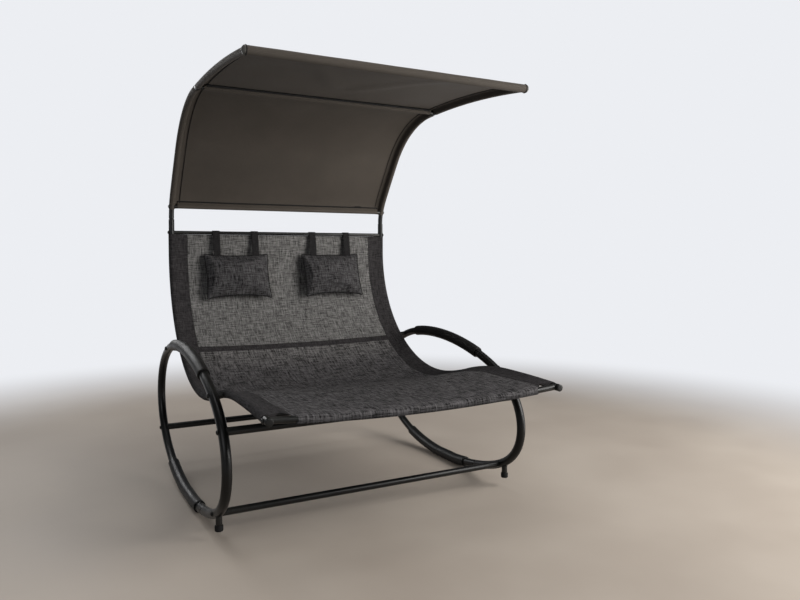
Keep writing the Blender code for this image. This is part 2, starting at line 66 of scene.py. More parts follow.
ARMREST_R, FLOOR_SLEEVE_R = 0.0260, 0.0250
HOOP_WALL = 0.0016
RAIL_START = (-0.8112, 0.5363)
RAIL_HEADING = 3.7
RAIL_BENDS = [(0.352, -3.4), (0.305, -16.6), (0.186, 8.3),
              (0.651, 54.9), (0.454, 43.1), (0.160, 0.0)]
FRONT_BAR_AT = 0.024
FRONT_BAR_BOW = 0.024
CANOPY_BENDS = [(0.070, 0.0), (0.045, 17.0), (0.094, 17.5),
                (0.255, 2.5), (0.437, 49.5), (0.770, 10.0)]
CANOPY_HEM_AT, CANOPY_BAR_AT, CANOPY_MID_BAR_AT = 0.115, 0.129, 0.950
CANOPY_HALF_WIDTH = 0.612
RAIL_LENGTH = sum(length for length, turn in RAIL_BENDS)
CANOPY_LENGTH = sum(length for length, turn in CANOPY_BENDS)
TOP_BAR_AT = RAIL_LENGTH - 0.067
PILLOW_X = 0.270
PILLOW_TOP, PILLOW_BOTTOM = (-0.018, -0.118), (-0.090, -0.338)
STRAP_SPACING, STRAP_WIDTH = 0.208, 0.038
CANOPY_FOOT_AT = TOP_BAR_AT + 0.0040 + 0.0006   # where on the rails the canopy's tubes start

# ---- looks ----
SLING_T, CANOPY_T = 0.0014, 0.0012   # cloth thicknesses
BAND_STEP = 0.0008         # a sewn-on band stands this much proud
SLING_SAG = 0.014
SLING_TOP_DROP = 0.0110    # how far the upper edge passes behind the top bar
POCKET_X = 0.552           # where the sling splits into the pocket round its rail
SIDE_BAND_X = 0.520        # inner edge of the dark side bands
SLING_FRONT, SLING_TOP = FRONT_BAR_AT, TOP_BAR_AT - 0.0094
WAIST = (TOP_BAR_AT - 0.675, TOP_BAR_AT - 0.640)
HEM_R = FRONT_BAR_R + 0.0011   # middle of the cloth where it goes round the front bar
HEM_LAP = 0.028            # length of sheet that runs down round the bar
SLEEVE_X = 0.560           # inner edge of the canopy's side sleeves
SLEEVE_OVER = 0.0018       # how far the outside of a sleeve lies over its tube
CANOPY_OUTER = CANOPY_RAIL_R + SLEEVE_OVER   # heights of the canopy cloth's faces over its path
CANOPY_INNER = CANOPY_OUTER - CANOPY_T
NARROW = 0.0004            # the tiny step between close rows and columns and at thin edges
THREAD_LIFT = 0.0001       # stitches stand this much over the cloth
SCREW_SINK = 0.0006        # how deep a screw's seat lies in its tube
PILLOW_WIDTH, PILLOW_FRONT, PILLOW_BACK = 0.345, 0.050, 0.026   # the last two: depth from the seam
PILLOW_CELLS = (46, 32)
SIDES = {"left": -1, "right": 1}
X_AXIS, UP = Vector((1, 0, 0)), Vector((0, 0, 1))


# ---- paths ----
def outline_slopes():
    outline = np.array(HOOP_OUTLINE)
    alone = np.eye(len(outline))
    weights = 4 * alone + np.roll(alone, 1, 0) + np.roll(alone, -1, 0)
    return np.linalg.solve(weights, 3 * (np.roll(outline, -1, 0) - np.roll(outline, 1, 0)))


HOOP_SLOPES = outline_slopes()


def hoop_point(angle):
    """Offset from the hoop's centre, and its slope there, on a closed smooth curve."""
    count = len(HOOP_OUTLINE)
    place = angle * count / 360
    here, part = math.floor(place) % count, place % 1
    there = (here + 1) % count
    start, end = (np.array(HOOP_OUTLINE[index]) for index in (here, there))
    leaving, arriving = HOOP_SLOPES[here], HOOP_SLOPES[there]
    bend = 3 * (end - start) - 2 * leaving - arriving
    twist = 2 * (start - end) + leaving + arriving
    run = leaving + part * (2 * bend + 3 * part * twist)
    return start + part * (leaving + part * (bend + part * twist)), run


def hoop_angle(steps):
    """The hoop's corners are numbered both ways from the flat that it stands on."""
    if steps < 0:
        return LOWEST_HOOP_ANGLE - FLOOR_FLAT / 2 + (steps + 1) * HOOP_SPACING
    return LOWEST_HOOP_ANGLE + FLOOR_FLAT / 2 + steps * HOOP_SPACING


FLAT_OFFSET = hoop_point(hoop_angle(0))[0][1]
HOOP_CENTRE_Z = FLOOR_SLEEVE_R * math.cos(math.pi / 12) - FLAT_OFFSET


def hoop_path(x):
    """Round a rocker hoop; places are hoop angles. The rocker's underside is flat where it stands."""
    def at(angle):
        offset, run = hoop_point(angle)
        height = max(offset[1], FLAT_OFFSET)
        centre = Vector((x, HOOP_CENTRE_Y + offset[0], HOOP_CENTRE_Z + height))
        return centre, X_AXIS, Vector((0, -run[1], run[0])).normalized()
    return at


def bent_path(x, start, heading, bends):
    """Along a tube of bends, each (length, degrees). Beyond both ends it goes straight on."""
    def at(distance):
        y, z = start
        facing = math.radians(heading)
        left_over = distance
        if distance < 0:
            y += distance * math.cos(facing)
            z += distance * math.sin(facing)
            left_over = 0
        for length, turn in bends:
            part = min(left_over, length)
            angle = math.radians(turn) * part / length
            chord = part * math.sin(angle / 2) / (angle / 2) if angle else part
            y += chord * math.cos(facing + angle / 2)
            z += chord * math.sin(facing + angle / 2)
            facing += angle
            left_over -= part
            if left_over <= 0:
                break
        y += left_over * math.cos(facing)
        z += left_over * math.sin(facing)
        return Vector((x, y, z)), X_AXIS, Vector((0, math.sin(facing), -math.cos(facing)))
    return at


def rail_path(x):
    return bent_path(x, RAIL_START, RAIL_HEADING, RAIL_BENDS)


def canopy_path(x):
    return bent_path(x, tuple(rail_path(x)(CANOPY_FOOT_AT)[0].yz), 90.0, CANOPY_BENDS)


def bar_path(y, z, bow=0.0, half_width=1.0):
    """Along a cross bar; places are x. The middle of a bowed bar lies lower by the bow."""
    def at(x):
        return Vector((x, y, z - bow * (1 - (x / half_width) ** 2))), Vector((0, 1, 0)), UP
    return at


def straight_path(base, axis):
    first = X_AXIS if abs(axis.x) < 0.5 else Vector((0, 1, 0))
    return lambda distance: (base + axis * distance, first, axis.cross(first).normalized())


def on_circle(centre, first, second, radius, turn):
    """A point round a centre, in the plane of two directions."""
    return centre + radius * (math.cos(turn) * first + math.sin(turn) * second)


def arc(a, b, radius, first, last, count):
    """Pairs of numbers on a circle round (a, b), from one angle to another, in radians."""
    return [(a + radius * math.cos(turn), b + radius * math.sin(turn))
            for turn in np.linspace(first, last, count)]


def circle(a, b, radius, count):
    """As arc, once round, without the last pair."""
    return arc(a, b, radius, 0, 2 * math.pi, count + 1)[:-1]


def stops(first, last, most):
    """Even places from first to last, at most so far apart."""
    count = max(1, math.ceil((last - first) / most))
    return [first + (last - first) * step / count for step in range(count + 1)]


def smooth(low, high, value):
    """0 before low, 1 after high, and a smooth rise between."""
    share = min(1.0, max(0.0, (value - low) / (high - low)))
    return share * share * (3 - 2 * share)


def ripple(a, b, seed=0.0):
    """A smooth, repeatable unevenness between about -1 and 1."""
    return (math.sin(a * 1.7 + 2.1 * math.sin(b * 0.9 + seed)) * 0.5
            + math.sin(b * 2.3 + 1.3 * math.sin(a * 1.1 + 2 * seed) + seed) * 0.35
            + math.sin(a * 3.9 - b * 2.7 + 3 * seed) * 0.15)


# ---- materials ----
class Nodes:
    """Short names for making and joining shader nodes."""

    def __init__(self, name):
        self.material = bpy.data.materials.new(name)
        self.material.use_nodes = True
        self.tree = self.material.node_tree
        self.shader = self.tree.nodes["Principled BSDF"]

    def add(self, kind, inputs=(), **settings):
        made = self.tree.nodes.new(kind)
        for key, value in settings.items():
            setattr(made, key, value)
        for index, value in dict(inputs).items():
            self.feed(made.inputs[index], value)
        return made

    def feed(self, socket, value):
        if isinstance(value, bpy.types.NodeSocket):
            self.tree.links.new(value, socket)
        else:
            socket.default_value = value

    def maths(self, operation, a, b=0.0):
        return self.add("ShaderNodeMath", {0: a, 1: b}, operation=operation).outputs[0]

    def times(self, a, b):
        return self.maths("MULTIPLY", a, b)

    def plus(self, a, b):
        return self.maths("ADD", a, b)

    def mix(self, share, a, b):
        made = self.add("ShaderNodeMix", data_type="RGBA")
        for index, value in ((0, share), (6, a), (7, b)):
            self.feed(made.inputs[index], value)
        return made.outputs[2]

    def noise(self, vector, scale, detail=2.0, rough=0.5):
        made = self.add("ShaderNodeTexNoise", {"Vector": vector, "Scale": scale, "Detail": detail,
                                               "Roughness": rough})
        return made.outputs["Fac"]

    def spread(self, value, low, high, to_low=0.0, to_high=1.0):
        made = self.add("ShaderNodeMapRange", {0: value, 1: low, 2: high, 3: to_low, 4: to_high})
        return made.outputs[0]

    def rise(self, value, low, high):
        return self.add("ShaderNodeMapRange", {0: value, 1: low, 2: high},
                        interpolation_type="SMOOTHSTEP").outputs[0]

    def bump(self, height, distance, strength):
        inputs = {"Strength": strength, "Distance": distance, "Height": height}
        return self.add("ShaderNodeBump", inputs).outputs[0]

    def object_place(self):
        return self.add("ShaderNodeTexCoord").outputs["Object"]

    def cloth_place(self):
        """UV in metres, as two separate numbers."""
        split = self.add("ShaderNodeSeparateXYZ", {0: self.add("ShaderNodeTexCoord").outputs["UV"]})
        return split.outputs[0], split.outputs[1]

    def join(self, x, y, z=0.0):
        return self.add("ShaderNodeCombineXYZ", {0: x, 1: y, 2: z}).outputs[0]

    def set(self, **values):
        for name, value in values.items():
            self.feed(self.shader.inputs[name.replace("_", " ")], value)
        return self.material


def rgb(*values):
    """A shader colour from sRGB numbers out of 255."""
    linear = [(v / 255 / 12.92) if v <= 10 else ((v / 255 + 0.055) / 1.055) ** 2.4 for v in values]
    return (*linear, 1.0)


def coated_metal(name, colour, worn, roughness, grain, metallic=0.0):
    """Powder-coated tube: fine orange peel, uneven gloss, dust on top and rubbed edges."""
    made = Nodes(name)
    place = made.object_place()
    cloud = made.noise(place, 9.0, 4.0)
    fine = made.noise(place, 620.0, 2.0)
    long = made.add("ShaderNodeMapping", {0: place, 3: (60, 420, 60)}).outputs[0]
    scratch = made.noise(long, 1.0, 3.0)
    geometry = made.add("ShaderNodeNewGeometry")
    edge = made.spread(geometry.outputs["Pointiness"], 0.52, 0.60)
    facing = made.add("ShaderNodeSeparateXYZ", {0: geometry.outputs["Normal"]}).outputs[2]
    dust = made.times(made.spread(facing, 0.55, 1.0), made.spread(cloud, 0.35, 0.75))
    rub = made.times(edge, made.spread(fine, 0.3, 0.7))
    wear = made.maths("MAXIMUM", made.times(rub, 0.6), made.times(dust, 0.12))
    rough = made.spread(cloud, 0.25, 0.75, roughness - 0.05, roughness + 0.08)
    rough = made.plus(rough, made.spread(scratch, 0.62, 0.78, 0.0, 0.10))
    normal = made.bump(fine, grain, 0.55)
    return made.set(Base_Color=made.mix(wear, colour, worn), Roughness=rough, Normal=normal,
                    Metallic=metallic, Specular_IOR_Level=0.28)


def moulded(name, colour, worn, roughness, grain, scale=340.0):
    """Plastic, foam or rubber: a fine pebbled skin with paler scuffs."""
    made = Nodes(name)
    place = made.object_place()
    pebble = made.add("ShaderNodeTexVoronoi", {"Vector": place, "Scale": scale}).outputs["Distance"]
    cloud = made.noise(place, 14.0, 5.0, 0.6)
    scuff = made.spread(made.noise(place, 55.0, 6.0, 0.7), 0.56, 0.74)
    share = made.times(scuff, made.spread(cloud, 0.4, 0.7, 0.15, 0.8))
    rough = made.spread(cloud, 0.3, 0.7, roughness - 0.07, roughness + 0.07)
    return made.set(Base_Color=made.mix(share, colour, worn), Roughness=rough,
                    Normal=made.bump(pebble, grain, 0.6), Specular_IOR_Level=0.3)


def woven(name, dark, light, pitch, slub, painted_shade=None, contrast=1.0, bold=1.0):
    """Melange plain weave from UV in metres. Threads keep their own shade along a slub's length, in
    single threads and in two widths of bundle, both ways. painted_shade is (v, v, dark, light), a
    painted shade: the shades that the cloth is drawn with at the first distance, when dark and light
    are those at the second."""
    made = Nodes(name)
    u, v = made.cloth_place()
    # painted shade: the cloth is drawn darker at low v, for the shade that falls there
    if painted_shade:
        share = made.rise(v, painted_shade[0], painted_shade[1])
        dark, light = made.mix(share, painted_shade[2], dark), made.mix(share, painted_shade[3], light)
    across, along = (made.maths("DIVIDE", value, pitch) for value in (u, v))
    row_u, row_v = (made.maths("FLOOR", value) for value in (across, along))
    over = made.maths("MODULO", made.maths("ABSOLUTE", made.plus(row_u, row_v)), 2.0)
    over = made.maths("GREATER_THAN", over, 0.5)
    streaks = []
    for width, length, shift in ((1.0, 1.0, 0.0), (2.0, 1.9, 4.0), (3.6 * bold, 3.2 * bold, 17.0)):
        width, length = width * pitch, length * slub
        for swap in (0, 1):
            sizes = (length, width) if swap else (width, length)
            a, b = (made.maths("DIVIDE", value, size) for value, size in zip((u, v), sizes))
            streaks.append(made.noise(made.join(a, b, shift + 7 * swap), 1.0, 1.0))
    fine = made.plus(made.times(streaks[0], over),
                      made.times(streaks[1], made.maths("SUBTRACT", 1.0, over)))
    bundles = made.plus(streaks[2], streaks[3])
    broad = made.plus(streaks[4], streaks[5])
    tone = made.plus(made.times(fine, 0.26), made.times(bundles, 0.19))
    tone = made.plus(tone, made.times(broad, 0.18))
    share = made.spread(tone, 0.5 - 0.10 / contrast, 0.5 + 0.10 / contrast)
    round_u, round_v = (
        made.maths("SINE", made.times(made.maths("FRACT", value), math.pi))
        for value in (across, along))
    height = made.plus(made.times(round_u, made.spread(over, 0, 1, 0.35, 1.0)),
                        made.times(round_v, made.spread(over, 0, 1, 1.0, 0.35)))
    gap = made.spread(made.times(round_u, round_v), 0.0, 0.35, 0.55, 1.0)
    colour = made.mix(gap, (0.0, 0.0, 0.0, 1.0), made.mix(share, dark, light))
    return made.set(Base_Color=colour, Roughness=made.spread(share, 0, 1, 0.91, 0.79),
                    Normal=made.bump(height, 0.0004, 0.8), Specular_IOR_Level=0.2)


def plain_cloth(name, colour, shade, pitch, roughness, sheen):
    """Tight polyester cloth: a fine weave, faint broad mottling and a dry sheen."""
    made = Nodes(name)
    u, v = made.cloth_place()
    waves = [made.maths("SINE", made.times(value, 2 * math.pi / pitch)) for value in (u, v)]
    height = made.times(*waves)
    mottled = made.noise(made.join(u, v), 7.0, 4.0, 0.6)
    thread = made.noise(made.join(made.times(u, 55.0), made.times(v, 700.0)), 1.0, 2.0)
    share = made.plus(made.times(mottled, 0.6), made.times(thread, 0.4))
    return made.set(Base_Color=made.mix(made.spread(share, 0.35, 0.65), shade, colour),
                    Roughness=made.spread(mottled, 0.3, 0.7, roughness - 0.05, roughness + 0.05),
                    Normal=made.bump(height, 0.00012, 0.7), Sheen_Weight=sheen, Sheen_Roughness=0.45,
                    Specular_IOR_Level=0.25)


LOOKS = {
    "black_tube": coated_metal("powder_coat", rgb(13, 13, 12), rgb(70, 69, 66), 0.32, 0.00008),
    "bolt_steel": coated_metal("bolt_plating", rgb(34, 34, 35), rgb(128, 126, 122), 0.32, 0.00004, 0.7),
    "armrest_foam": moulded("armrest_skin", rgb(20, 19, 17), rgb(50, 48, 45), 0.5, 0.00018),
    "black_plastic": moulded("moulded_plastic", rgb(16, 16, 15), rgb(60, 58, 56), 0.45, 0.00012),
    "plug_grey": moulded("plug_plastic", rgb(88, 85, 80), rgb(120, 116, 110), 0.5, 0.00010),
    "rubber": moulded("rubber_tip", rgb(22, 22, 22), rgb(60, 58, 56), 0.78, 0.00020),
    "sling_light": woven("sling_mesh_grey", rgb(44, 43, 42), rgb(140, 138, 136), 0.0017, 0.022,
                         contrast=1.2),
    "sling_dark": woven("sling_mesh_dark", rgb(20, 18, 19), rgb(68, 65, 66), 0.0017, 0.018),
    # painted shade: the seat is the back's pale cloth drawn darker, and darker still from 1.36 m down
    # along the rails, most below 1.16 m, towards its low fold
    "sling_seat": woven("sling_mesh_seat_painted_shade", rgb(28, 27, 27), rgb(128, 125, 124), 0.0017, 0.018,
                        painted_shade=(1.16, 1.36, rgb(7, 7, 7), rgb(108, 105, 106)), contrast=1.5, bold=1.5),
    "canopy_cloth": plain_cloth("canopy_polyester", rgb(75, 68, 61), rgb(67, 61, 54), 0.0011, 0.75,
                                0.04),
    "pillow_cloth": woven("pillow_weave", rgb(11, 10, 11), rgb(92, 90, 91), 0.0015, 0.020, contrast=1.4),
    "strap_webbing": woven("strap_weave", rgb(14, 13, 14), rgb(42, 40, 41), 0.0011, 0.010),
    "thread": moulded("sewing_thread", rgb(42, 40, 39), rgb(70, 68, 66), 0.7, 0.00002, 3000.0),
    # the black binding also draws the dark cords that stand for shadow lines on the canopy (painted
    # shadow)
    "binding": moulded("black_binding", rgb(9, 8, 8), rgb(22, 21, 20), 0.8, 0.00005, 2000.0),
}
SLOT_OF = {"sling_light": "sling_mesh", "sling_dark": "sling_mesh", "sling_seat": "sling_mesh",
           "thread": "strap_webbing", "binding": "strap_webbing", "plug_grey": "black_plastic"}


# ---- mesh making ----
def linked(name, data):
    made = bpy.data.objects.new(name, data)
    bpy.context.scene.collection.objects.link(made)
    return made


def add_mesh(name, points, faces, looks, body, face_looks=None, uvs=None, sharp=35):
    """One mesh object that rides on a body. uvs holds one (u, v) per corner of each face."""
    names = [looks] if isinstance(looks, str) else list(looks)
    mesh = bpy.data.meshes.new(name)
    mesh.from_pydata([tuple(point) for point in points], [], faces)
    for look in names:
        mesh.materials.append(LOOKS[look])
    if face_looks is not None:
        mesh.polygons.foreach_set("material_index", [names.index(look) for look in face_looks])
    if uvs is not None:
        layer = mesh.uv_layers.new(name="UVMap")
        layer.data.foreach_set("uv", [value for face in uvs for corner in face for value in corner])
    mesh.shade_smooth()
    mesh.set_sharp_from_angle(angle=math.radians(sharp))
    made = linked(name, mesh)
    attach(made, body)
    SLOT_OF.get(names[0], names[0])
    return made


def turn_outward(made):
    shape = bmesh.new()
    shape.from_mesh(made.data)
    bmesh.ops.recalc_face_normals(shape, faces=shape.faces)
    shape.to_mesh(made.data)
    shape.free()
    return made


def between(here, there, sides):
    """Faces from one ring of vertices to the next; a ring is given by its first number."""
    return [[here + corner, here + (corner + 1) % sides, there + (corner + 1) % sides, there + corner]
            for corner in range(sides)]


def sweep(name, path, profile, look, body, sides=32, node=None, shape=None):
    """Round sections along a path, as in the CAD. shape may move a finished point."""
    points, rings, faces = [], [], []
    for place, radius in profile:
        centre, first, second = path(place)
        count = sides if radius else 1
        rings.append(range(len(points), len(points) + count))
        for corner in range(count):
            point = on_circle(centre, first, second, radius, 2 * math.pi * (corner + 0.5) / sides)
            points.append(shape(point) if shape else point)
    pairs = list(zip(rings, rings[1:]))
    if profile[0][1]:
        pairs.append((rings[-1], rings[0]))
    for here, there in pairs:
        for corner in range(sides):
            following = (corner + 1) % sides
            face = [here[corner % len(here)], here[following % len(here)],
                    there[following % len(there)], there[corner % len(there)]]
            faces.append(list(dict.fromkeys(face)))
    made = turn_outward(add_mesh(name, points, faces, look, body))
    if node:
        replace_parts(made, node)


def rounded_tube(places, outer, wall, edge=0.0008):
    """Profile of an open tube with rounded lips. edge is in units of the path's places."""
    first, last, inner = places[0], places[-1], outer - wall
    lip = min(wall / 2, 0.0008)
    middle = [place for place in places if first + edge < place < last - edge]
    return [(first, inner + lip), (first, outer - lip), (first + edge * 0.4, outer - lip * 0.4),
            (first + edge, outer), *((place, outer) for place in middle), (last - edge, outer),
            (last - edge * 0.4, outer - lip * 0.4), (last, outer - lip), (last, inner + lip),
            (last - edge, inner), *((place, inner) for place in reversed(middle)), (first + edge, inner)]


def bolt(name, node, seat, axis, body, head=0.0085):
    """A button-head screw with a hexagon socket, over a thin washer."""
    out, sides, points, faces = -axis, 36, [], []
    rim, thick, edge = head + 0.0022, 0.0012, 0.0003
    washer = [(0, 0), (0, rim - edge), (edge * 0.3, rim - edge * 0.3), (edge, rim), (thick - edge, rim),
              (thick - edge * 0.3, rim - edge * 0.3), (thick, rim - edge), (thick, 0)]
    sweep(f"{name}_washer", straight_path(seat + out * 0.0004, out), washer, "bolt_steel", body, 28)
    path = straight_path(seat + out * 0.0016, out)
    for place, radius in ((0.0, head - 0.0006), (0.0006, head), (0.0018, head), (0.0034, head * 0.88),
                          (0.0046, head * 0.66), (0.0050, head * 0.50), (0.0050, 0.0029),
                          (0.0048, 0.0027), (0.0022, 0.0026)):
        for corner in range(sides):
            turn = 2 * math.pi * corner / sides
            reach = radius
            if radius < 0.003:      # the socket's walls are a hexagon
                reach = radius * math.cos(math.pi / 6) / math.cos((turn % (math.pi / 3)) - math.pi / 6)
            points.append(on_circle(*path(place), reach, turn))
    starts = range(0, len(points), sides)
    for here, there in zip(starts, starts[1:]):
        faces += between(here, there, sides)
    faces += [[starts[-1] + corner for corner in range(sides)], list(reversed(range(sides)))]
    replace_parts(turn_outward(add_mesh(name, points, faces, "bolt_steel", body, sharp=30)), node)


def stitches(name, line, body, pitch=0.0075, length=0.0048, radius=0.00055, look="thread"):
    """A row of sewn stitches along a line of (point, outward normal)."""
    places = np.array([tuple(point) for point, _ in line])
    reach = np.concatenate([[0], np.cumsum(np.linalg.norm(np.diff(places, axis=0), axis=1))])
    normals = np.array([tuple(normal) for _, normal in line])
    points, faces = [], []
    for number in range(int(reach[-1] / pitch)):
        middle = (number + 0.5) * pitch

        def at(distance):
            return Vector([np.interp(distance, reach, places[:, axis]) for axis in range(3)])

        out = Vector([np.interp(middle, reach, normals[:, axis]) for axis in range(3)]).normalized()
        start, end = at(middle - length / 2), at(middle + length / 2)
        across = (end - start).cross(out).normalized()
        first = len(points)
        points.append(start - out * radius * 0.6)
        for share in (0.25, 0.5, 0.75):
            spot = start.lerp(end, share) + out * radius * (0.5 if share == 0.5 else 0.3)
            points += [on_circle(spot, across, out, radius, math.pi / 4 + turn * math.pi / 2)
                       for turn in range(4)]
        points.append(end - out * radius * 0.6)
        for turn in range(4):
            after = (turn + 1) % 4
            faces.append([first, first + 1 + turn, first + 1 + after])
            for ring in (0, 4):
                faces.append([first + 1 + ring + turn, first + 5 + ring + turn,
                              first + 5 + ring + after, first + 1 + ring + after])
            faces.append([first + 9 + turn, first + 13, first + 9 + after])
    return add_mesh(name, points, faces, look, body, sharp=80)


def skin(name, rows, us, vs, looks, look_of, body):
    """A closed skin: each row is a closed outline with the same even number of points, in which
    point c and point -1 - c face each other across the cloth. Such pairs close the two ends."""
    columns = len(rows[0])
    points = [point for row in rows for point in row]
    faces, face_looks, uvs = [], [], []
    for row in range(len(rows) - 1):
        for column in range(columns):
            following = (column + 1) % columns
            corners = ((row, column), (row, following), (row + 1, following), (row + 1, column))
            faces.append([r * columns + c for r, c in corners])
            face_looks.append(look_of(row, column))
            uvs.append([(us[r][-1] + 0.003 if c < column else us[r][c], vs[r][c]) for r, c in corners])
    for row in (0, len(rows) - 1):
        for column in range(columns // 2 - 1):
            corners = [column, column + 1, columns - 2 - column, columns - 1 - column]
            faces.append([row * columns + c for c in corners])
            face_looks.append(look_of(min(row, len(rows) - 2), column))
            uvs.append([(us[row][c], vs[row][c]) for c in corners])
    return turn_outward(add_mesh(name, points, faces, looks, body, face_looks, uvs))


def whole_outline(half):
    """A sheet's closed section from its right half, which runs from the middle of the front, round
    the rail, to the middle of the back. It starts at the left rail, so that it suits skin."""
    middle, reach = len(half) // 2, half[-1][2] + half[0][0]
    left = [(-x, n, u) for x, n, u in reversed(half)]
    front_left = [(x, n, -u) for x, n, u in left[middle:]]
    back_left = [(x, n, 2 * reach - u) for x, n, u in left[:middle]]
    return front_left + half + back_left


def with_reach(section):
    """Adds the distance along the cloth to each (x, height)."""
    run, done = section[0][0], []
    for number, (x, n) in enumerate(section):
        if number:
            run += math.hypot(x - section[number - 1][0], n - section[number - 1][1])
        done.append((x, n, run))
    return done


# ---- hoops ----
def make_hoops(side, sign):
    path = hoop_path(sign * HOOP_X)
    bottom, top = hoop_angle(-3), hoop_angle(-19)
    gap, lip = 0.06, 0.10          # degrees; a tenth is about a millimetre of tube
    floor = 0.0002

    def stand(point):
        return Vector((point.x, point.y, max(point.z, floor)))

    for name, first, last in (("hoop_front", top, bottom), ("hoop_rear", bottom + gap, top + 360 - gap)):
        sweep(f"{name}_tube_{side}", path, rounded_tube(stops(first, last, 1.5), HOOP_R, HOOP_WALL, lip),
              "black_tube", "frame", 36, f"{name}_{side}")
    for end in (bottom, top):      # what shows of the necked tube in the joint
        sweep(f"hoop_neck_{side}_{round(end)}", path,
              rounded_tube([end - 1.2, end + 1.2], HOOP_R - HOOP_WALL, 0.001, 0.02), "black_tube",
              "frame", 32)
    for name, first, last, step, radius, lip, look, node, shape in (
            ("armrest_grip", -23, -17, 1.5, ARMREST_R, 0.30, "armrest_foam", "armrest_sleeve", None),
            ("floor_tread", -2, 3, 1.2, FLOOR_SLEEVE_R, 0.25, "black_plastic", "floor_sleeve", stand)):
        places = stops(hoop_angle(first), hoop_angle(last), step)
        sweep(f"{name}_{side}", path, rounded_tube(places, radius, radius - HOOP_R - 0.0004, lip),
              look, "frame", 40, f"{node}_{side}", shape=shape)
    for label, angle in (("front", hoop_angle(-2) - 1.1), ("rear", hoop_angle(3) + 1.1)):
        centre, _, normal = path(angle)
        inward = normal if normal.z > 0 else -normal
        screw = [(0, 0), (0, 0.0052), (0.0012, 0.0050), (0.0024, 0.0038), (0.0028, 0.0020),
                 (0.0020, 0.0016), (0.0020, 0)]
        seat = centre + inward * (HOOP_R - SCREW_SINK)
        sweep(f"tread_screw_{side}_{label}", straight_path(seat, inward), screw, "bolt_steel", "frame", 20)


def make_stop_foot(side, sign):
    node_low, node_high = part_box(f"stop_tip_{side}")
    x, y = sign * HOOP_X, (node_low.y + node_high.y) / 2
    path = hoop_path(x)
    angles = np.linspace(hoop_angle(-8), hoop_angle(-4), 400)
    spots = [path(angle) for angle in angles]

    def saddle(point):
        """Stops the post's top at the hoop's surface."""
        if point.z < node_high.z + 0.004:
            return point
        centre, _, normal = min(spots, key=lambda spot: abs(spot[0].y - point.y))
        below = -normal if normal.z > 0 else normal
        drop = math.sqrt(max(HOOP_R ** 2 - (point.x - x) ** 2, 0)) / max(abs(below.z), 0.3)
        return Vector((point.x, point.y, centre.z - drop + 0.0006))

    sweep(f"stop_stem_{side}", straight_path(Vector((x, y, node_low.z + 0.006)), UP),
          rounded_tube([0, 0.055], POST_R, 0.002), "black_tube", "frame", 32, f"stop_post_{side}",
          shape=saddle)
    bead = [saddle(Vector((*spot, 1.0))) for spot in circle(x, y, POST_R + 0.0006, 48)]
    ring_tube(f"stop_weld_{side}", bead, 0.0016, "black_tube", "frame")
    tip = [(0, 0), (0, 0.0120), (0.0004, 0.0138), (0.0016, 0.0153), (0.0036, 0.0160), (0.0060, 0.0161),
           (0.0066, 0.0155), (0.0072, 0.0161), (0.0100, 0.0161), (0.0106, 0.0155), (0.0112, 0.0161),
           (0.0180, 0.0160), (0.0208, 0.0157), (0.0220, 0.0148), (0.0220, 0.0128), (0.0060, 0.0128),
           (0.0060, 0)]
    sweep(f"stop_boot_{side}", straight_path(Vector((x, y, node_low.z)), UP), tip, "rubber", "frame", 36,
          f"stop_tip_{side}")


def ring_tube(name, ring, radius, look, body, sides=8, closed=True):
    """A thin round bead along a line of points."""
    points, faces = [], []
    count = len(ring)
    for number, centre in enumerate(ring):
        before = ring[number - 1] if closed or number else centre
        after = ring[(number + 1) % count] if closed or number < count - 1 else centre
        along = (after - before).normalized()
        first = (along.orthogonal() if abs(along.z) > 0.9 else along.cross(UP)).normalized()
        second = along.cross(first).normalized()
        points += [on_circle(centre, first, second, radius, 2 * math.pi * corner / sides)
                   for corner in range(sides)]
    for number in range(count if closed else count - 1):
        faces += between(number * sides, ((number + 1) % count) * sides, sides)
    if not closed:
        faces += [list(reversed(range(sides))), list(range((count - 1) * sides, count * sides))]
    return add_mesh(name, points, faces, look, body, sharp=60)


# ---- bars ----
def middle_of(node):
    low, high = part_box(node)
    return (low + high) / 2


def crossbar(node, radius, body, tube_x, tube_r, normal_at, bow, bolts):
    """A bar whose ends are cut to saddle the round tubes they meet, with a weld-like bead."""
    low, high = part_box(node)
    spot = Vector((0, (low.y + high.y) / 2, high.z - radius * math.cos(math.pi / 8)))
    half = high.x

    def saddle(point):
        if abs(point.x) < half - 0.002:
            return point
        offset = (point.yz - spot.yz).dot(normal_at) if bow == 0 else point.z - spot.z
        reach = tube_x - math.sqrt(max(tube_r ** 2 - offset ** 2, 0)) + 0.0004
        return Vector((math.copysign(reach, point.x), point.y, point.z))

    path = bar_path(spot.y, spot.z, bow, half)
    places = stops(-half, half, 0.05 if bow else 0.2)
    inside = radius - 0.0015
    profile = [(place, radius) for place in places] + [(place, inside) for place in reversed(places)]
    sweep(f"{node}_tube", path, profile, "black_tube", body, 36, node, shape=saddle)
    for side, sign in SIDES.items():
        bead = [saddle(Vector((sign * half, *rim)))
                for rim in circle(spot.y, spot.z, radius + 0.0004, 40)]
        ring_tube(f"{node}_bead_{side}", bead, 0.0013, "black_tube", body)
        if bolts:
            seat = Vector((sign * (tube_x + tube_r - SCREW_SINK), spot.y, spot.z))
            bolt(f"{node}_screw_{side}", f"{node}_bolt_{side}", seat, Vector((-sign, 0, 0)), body)


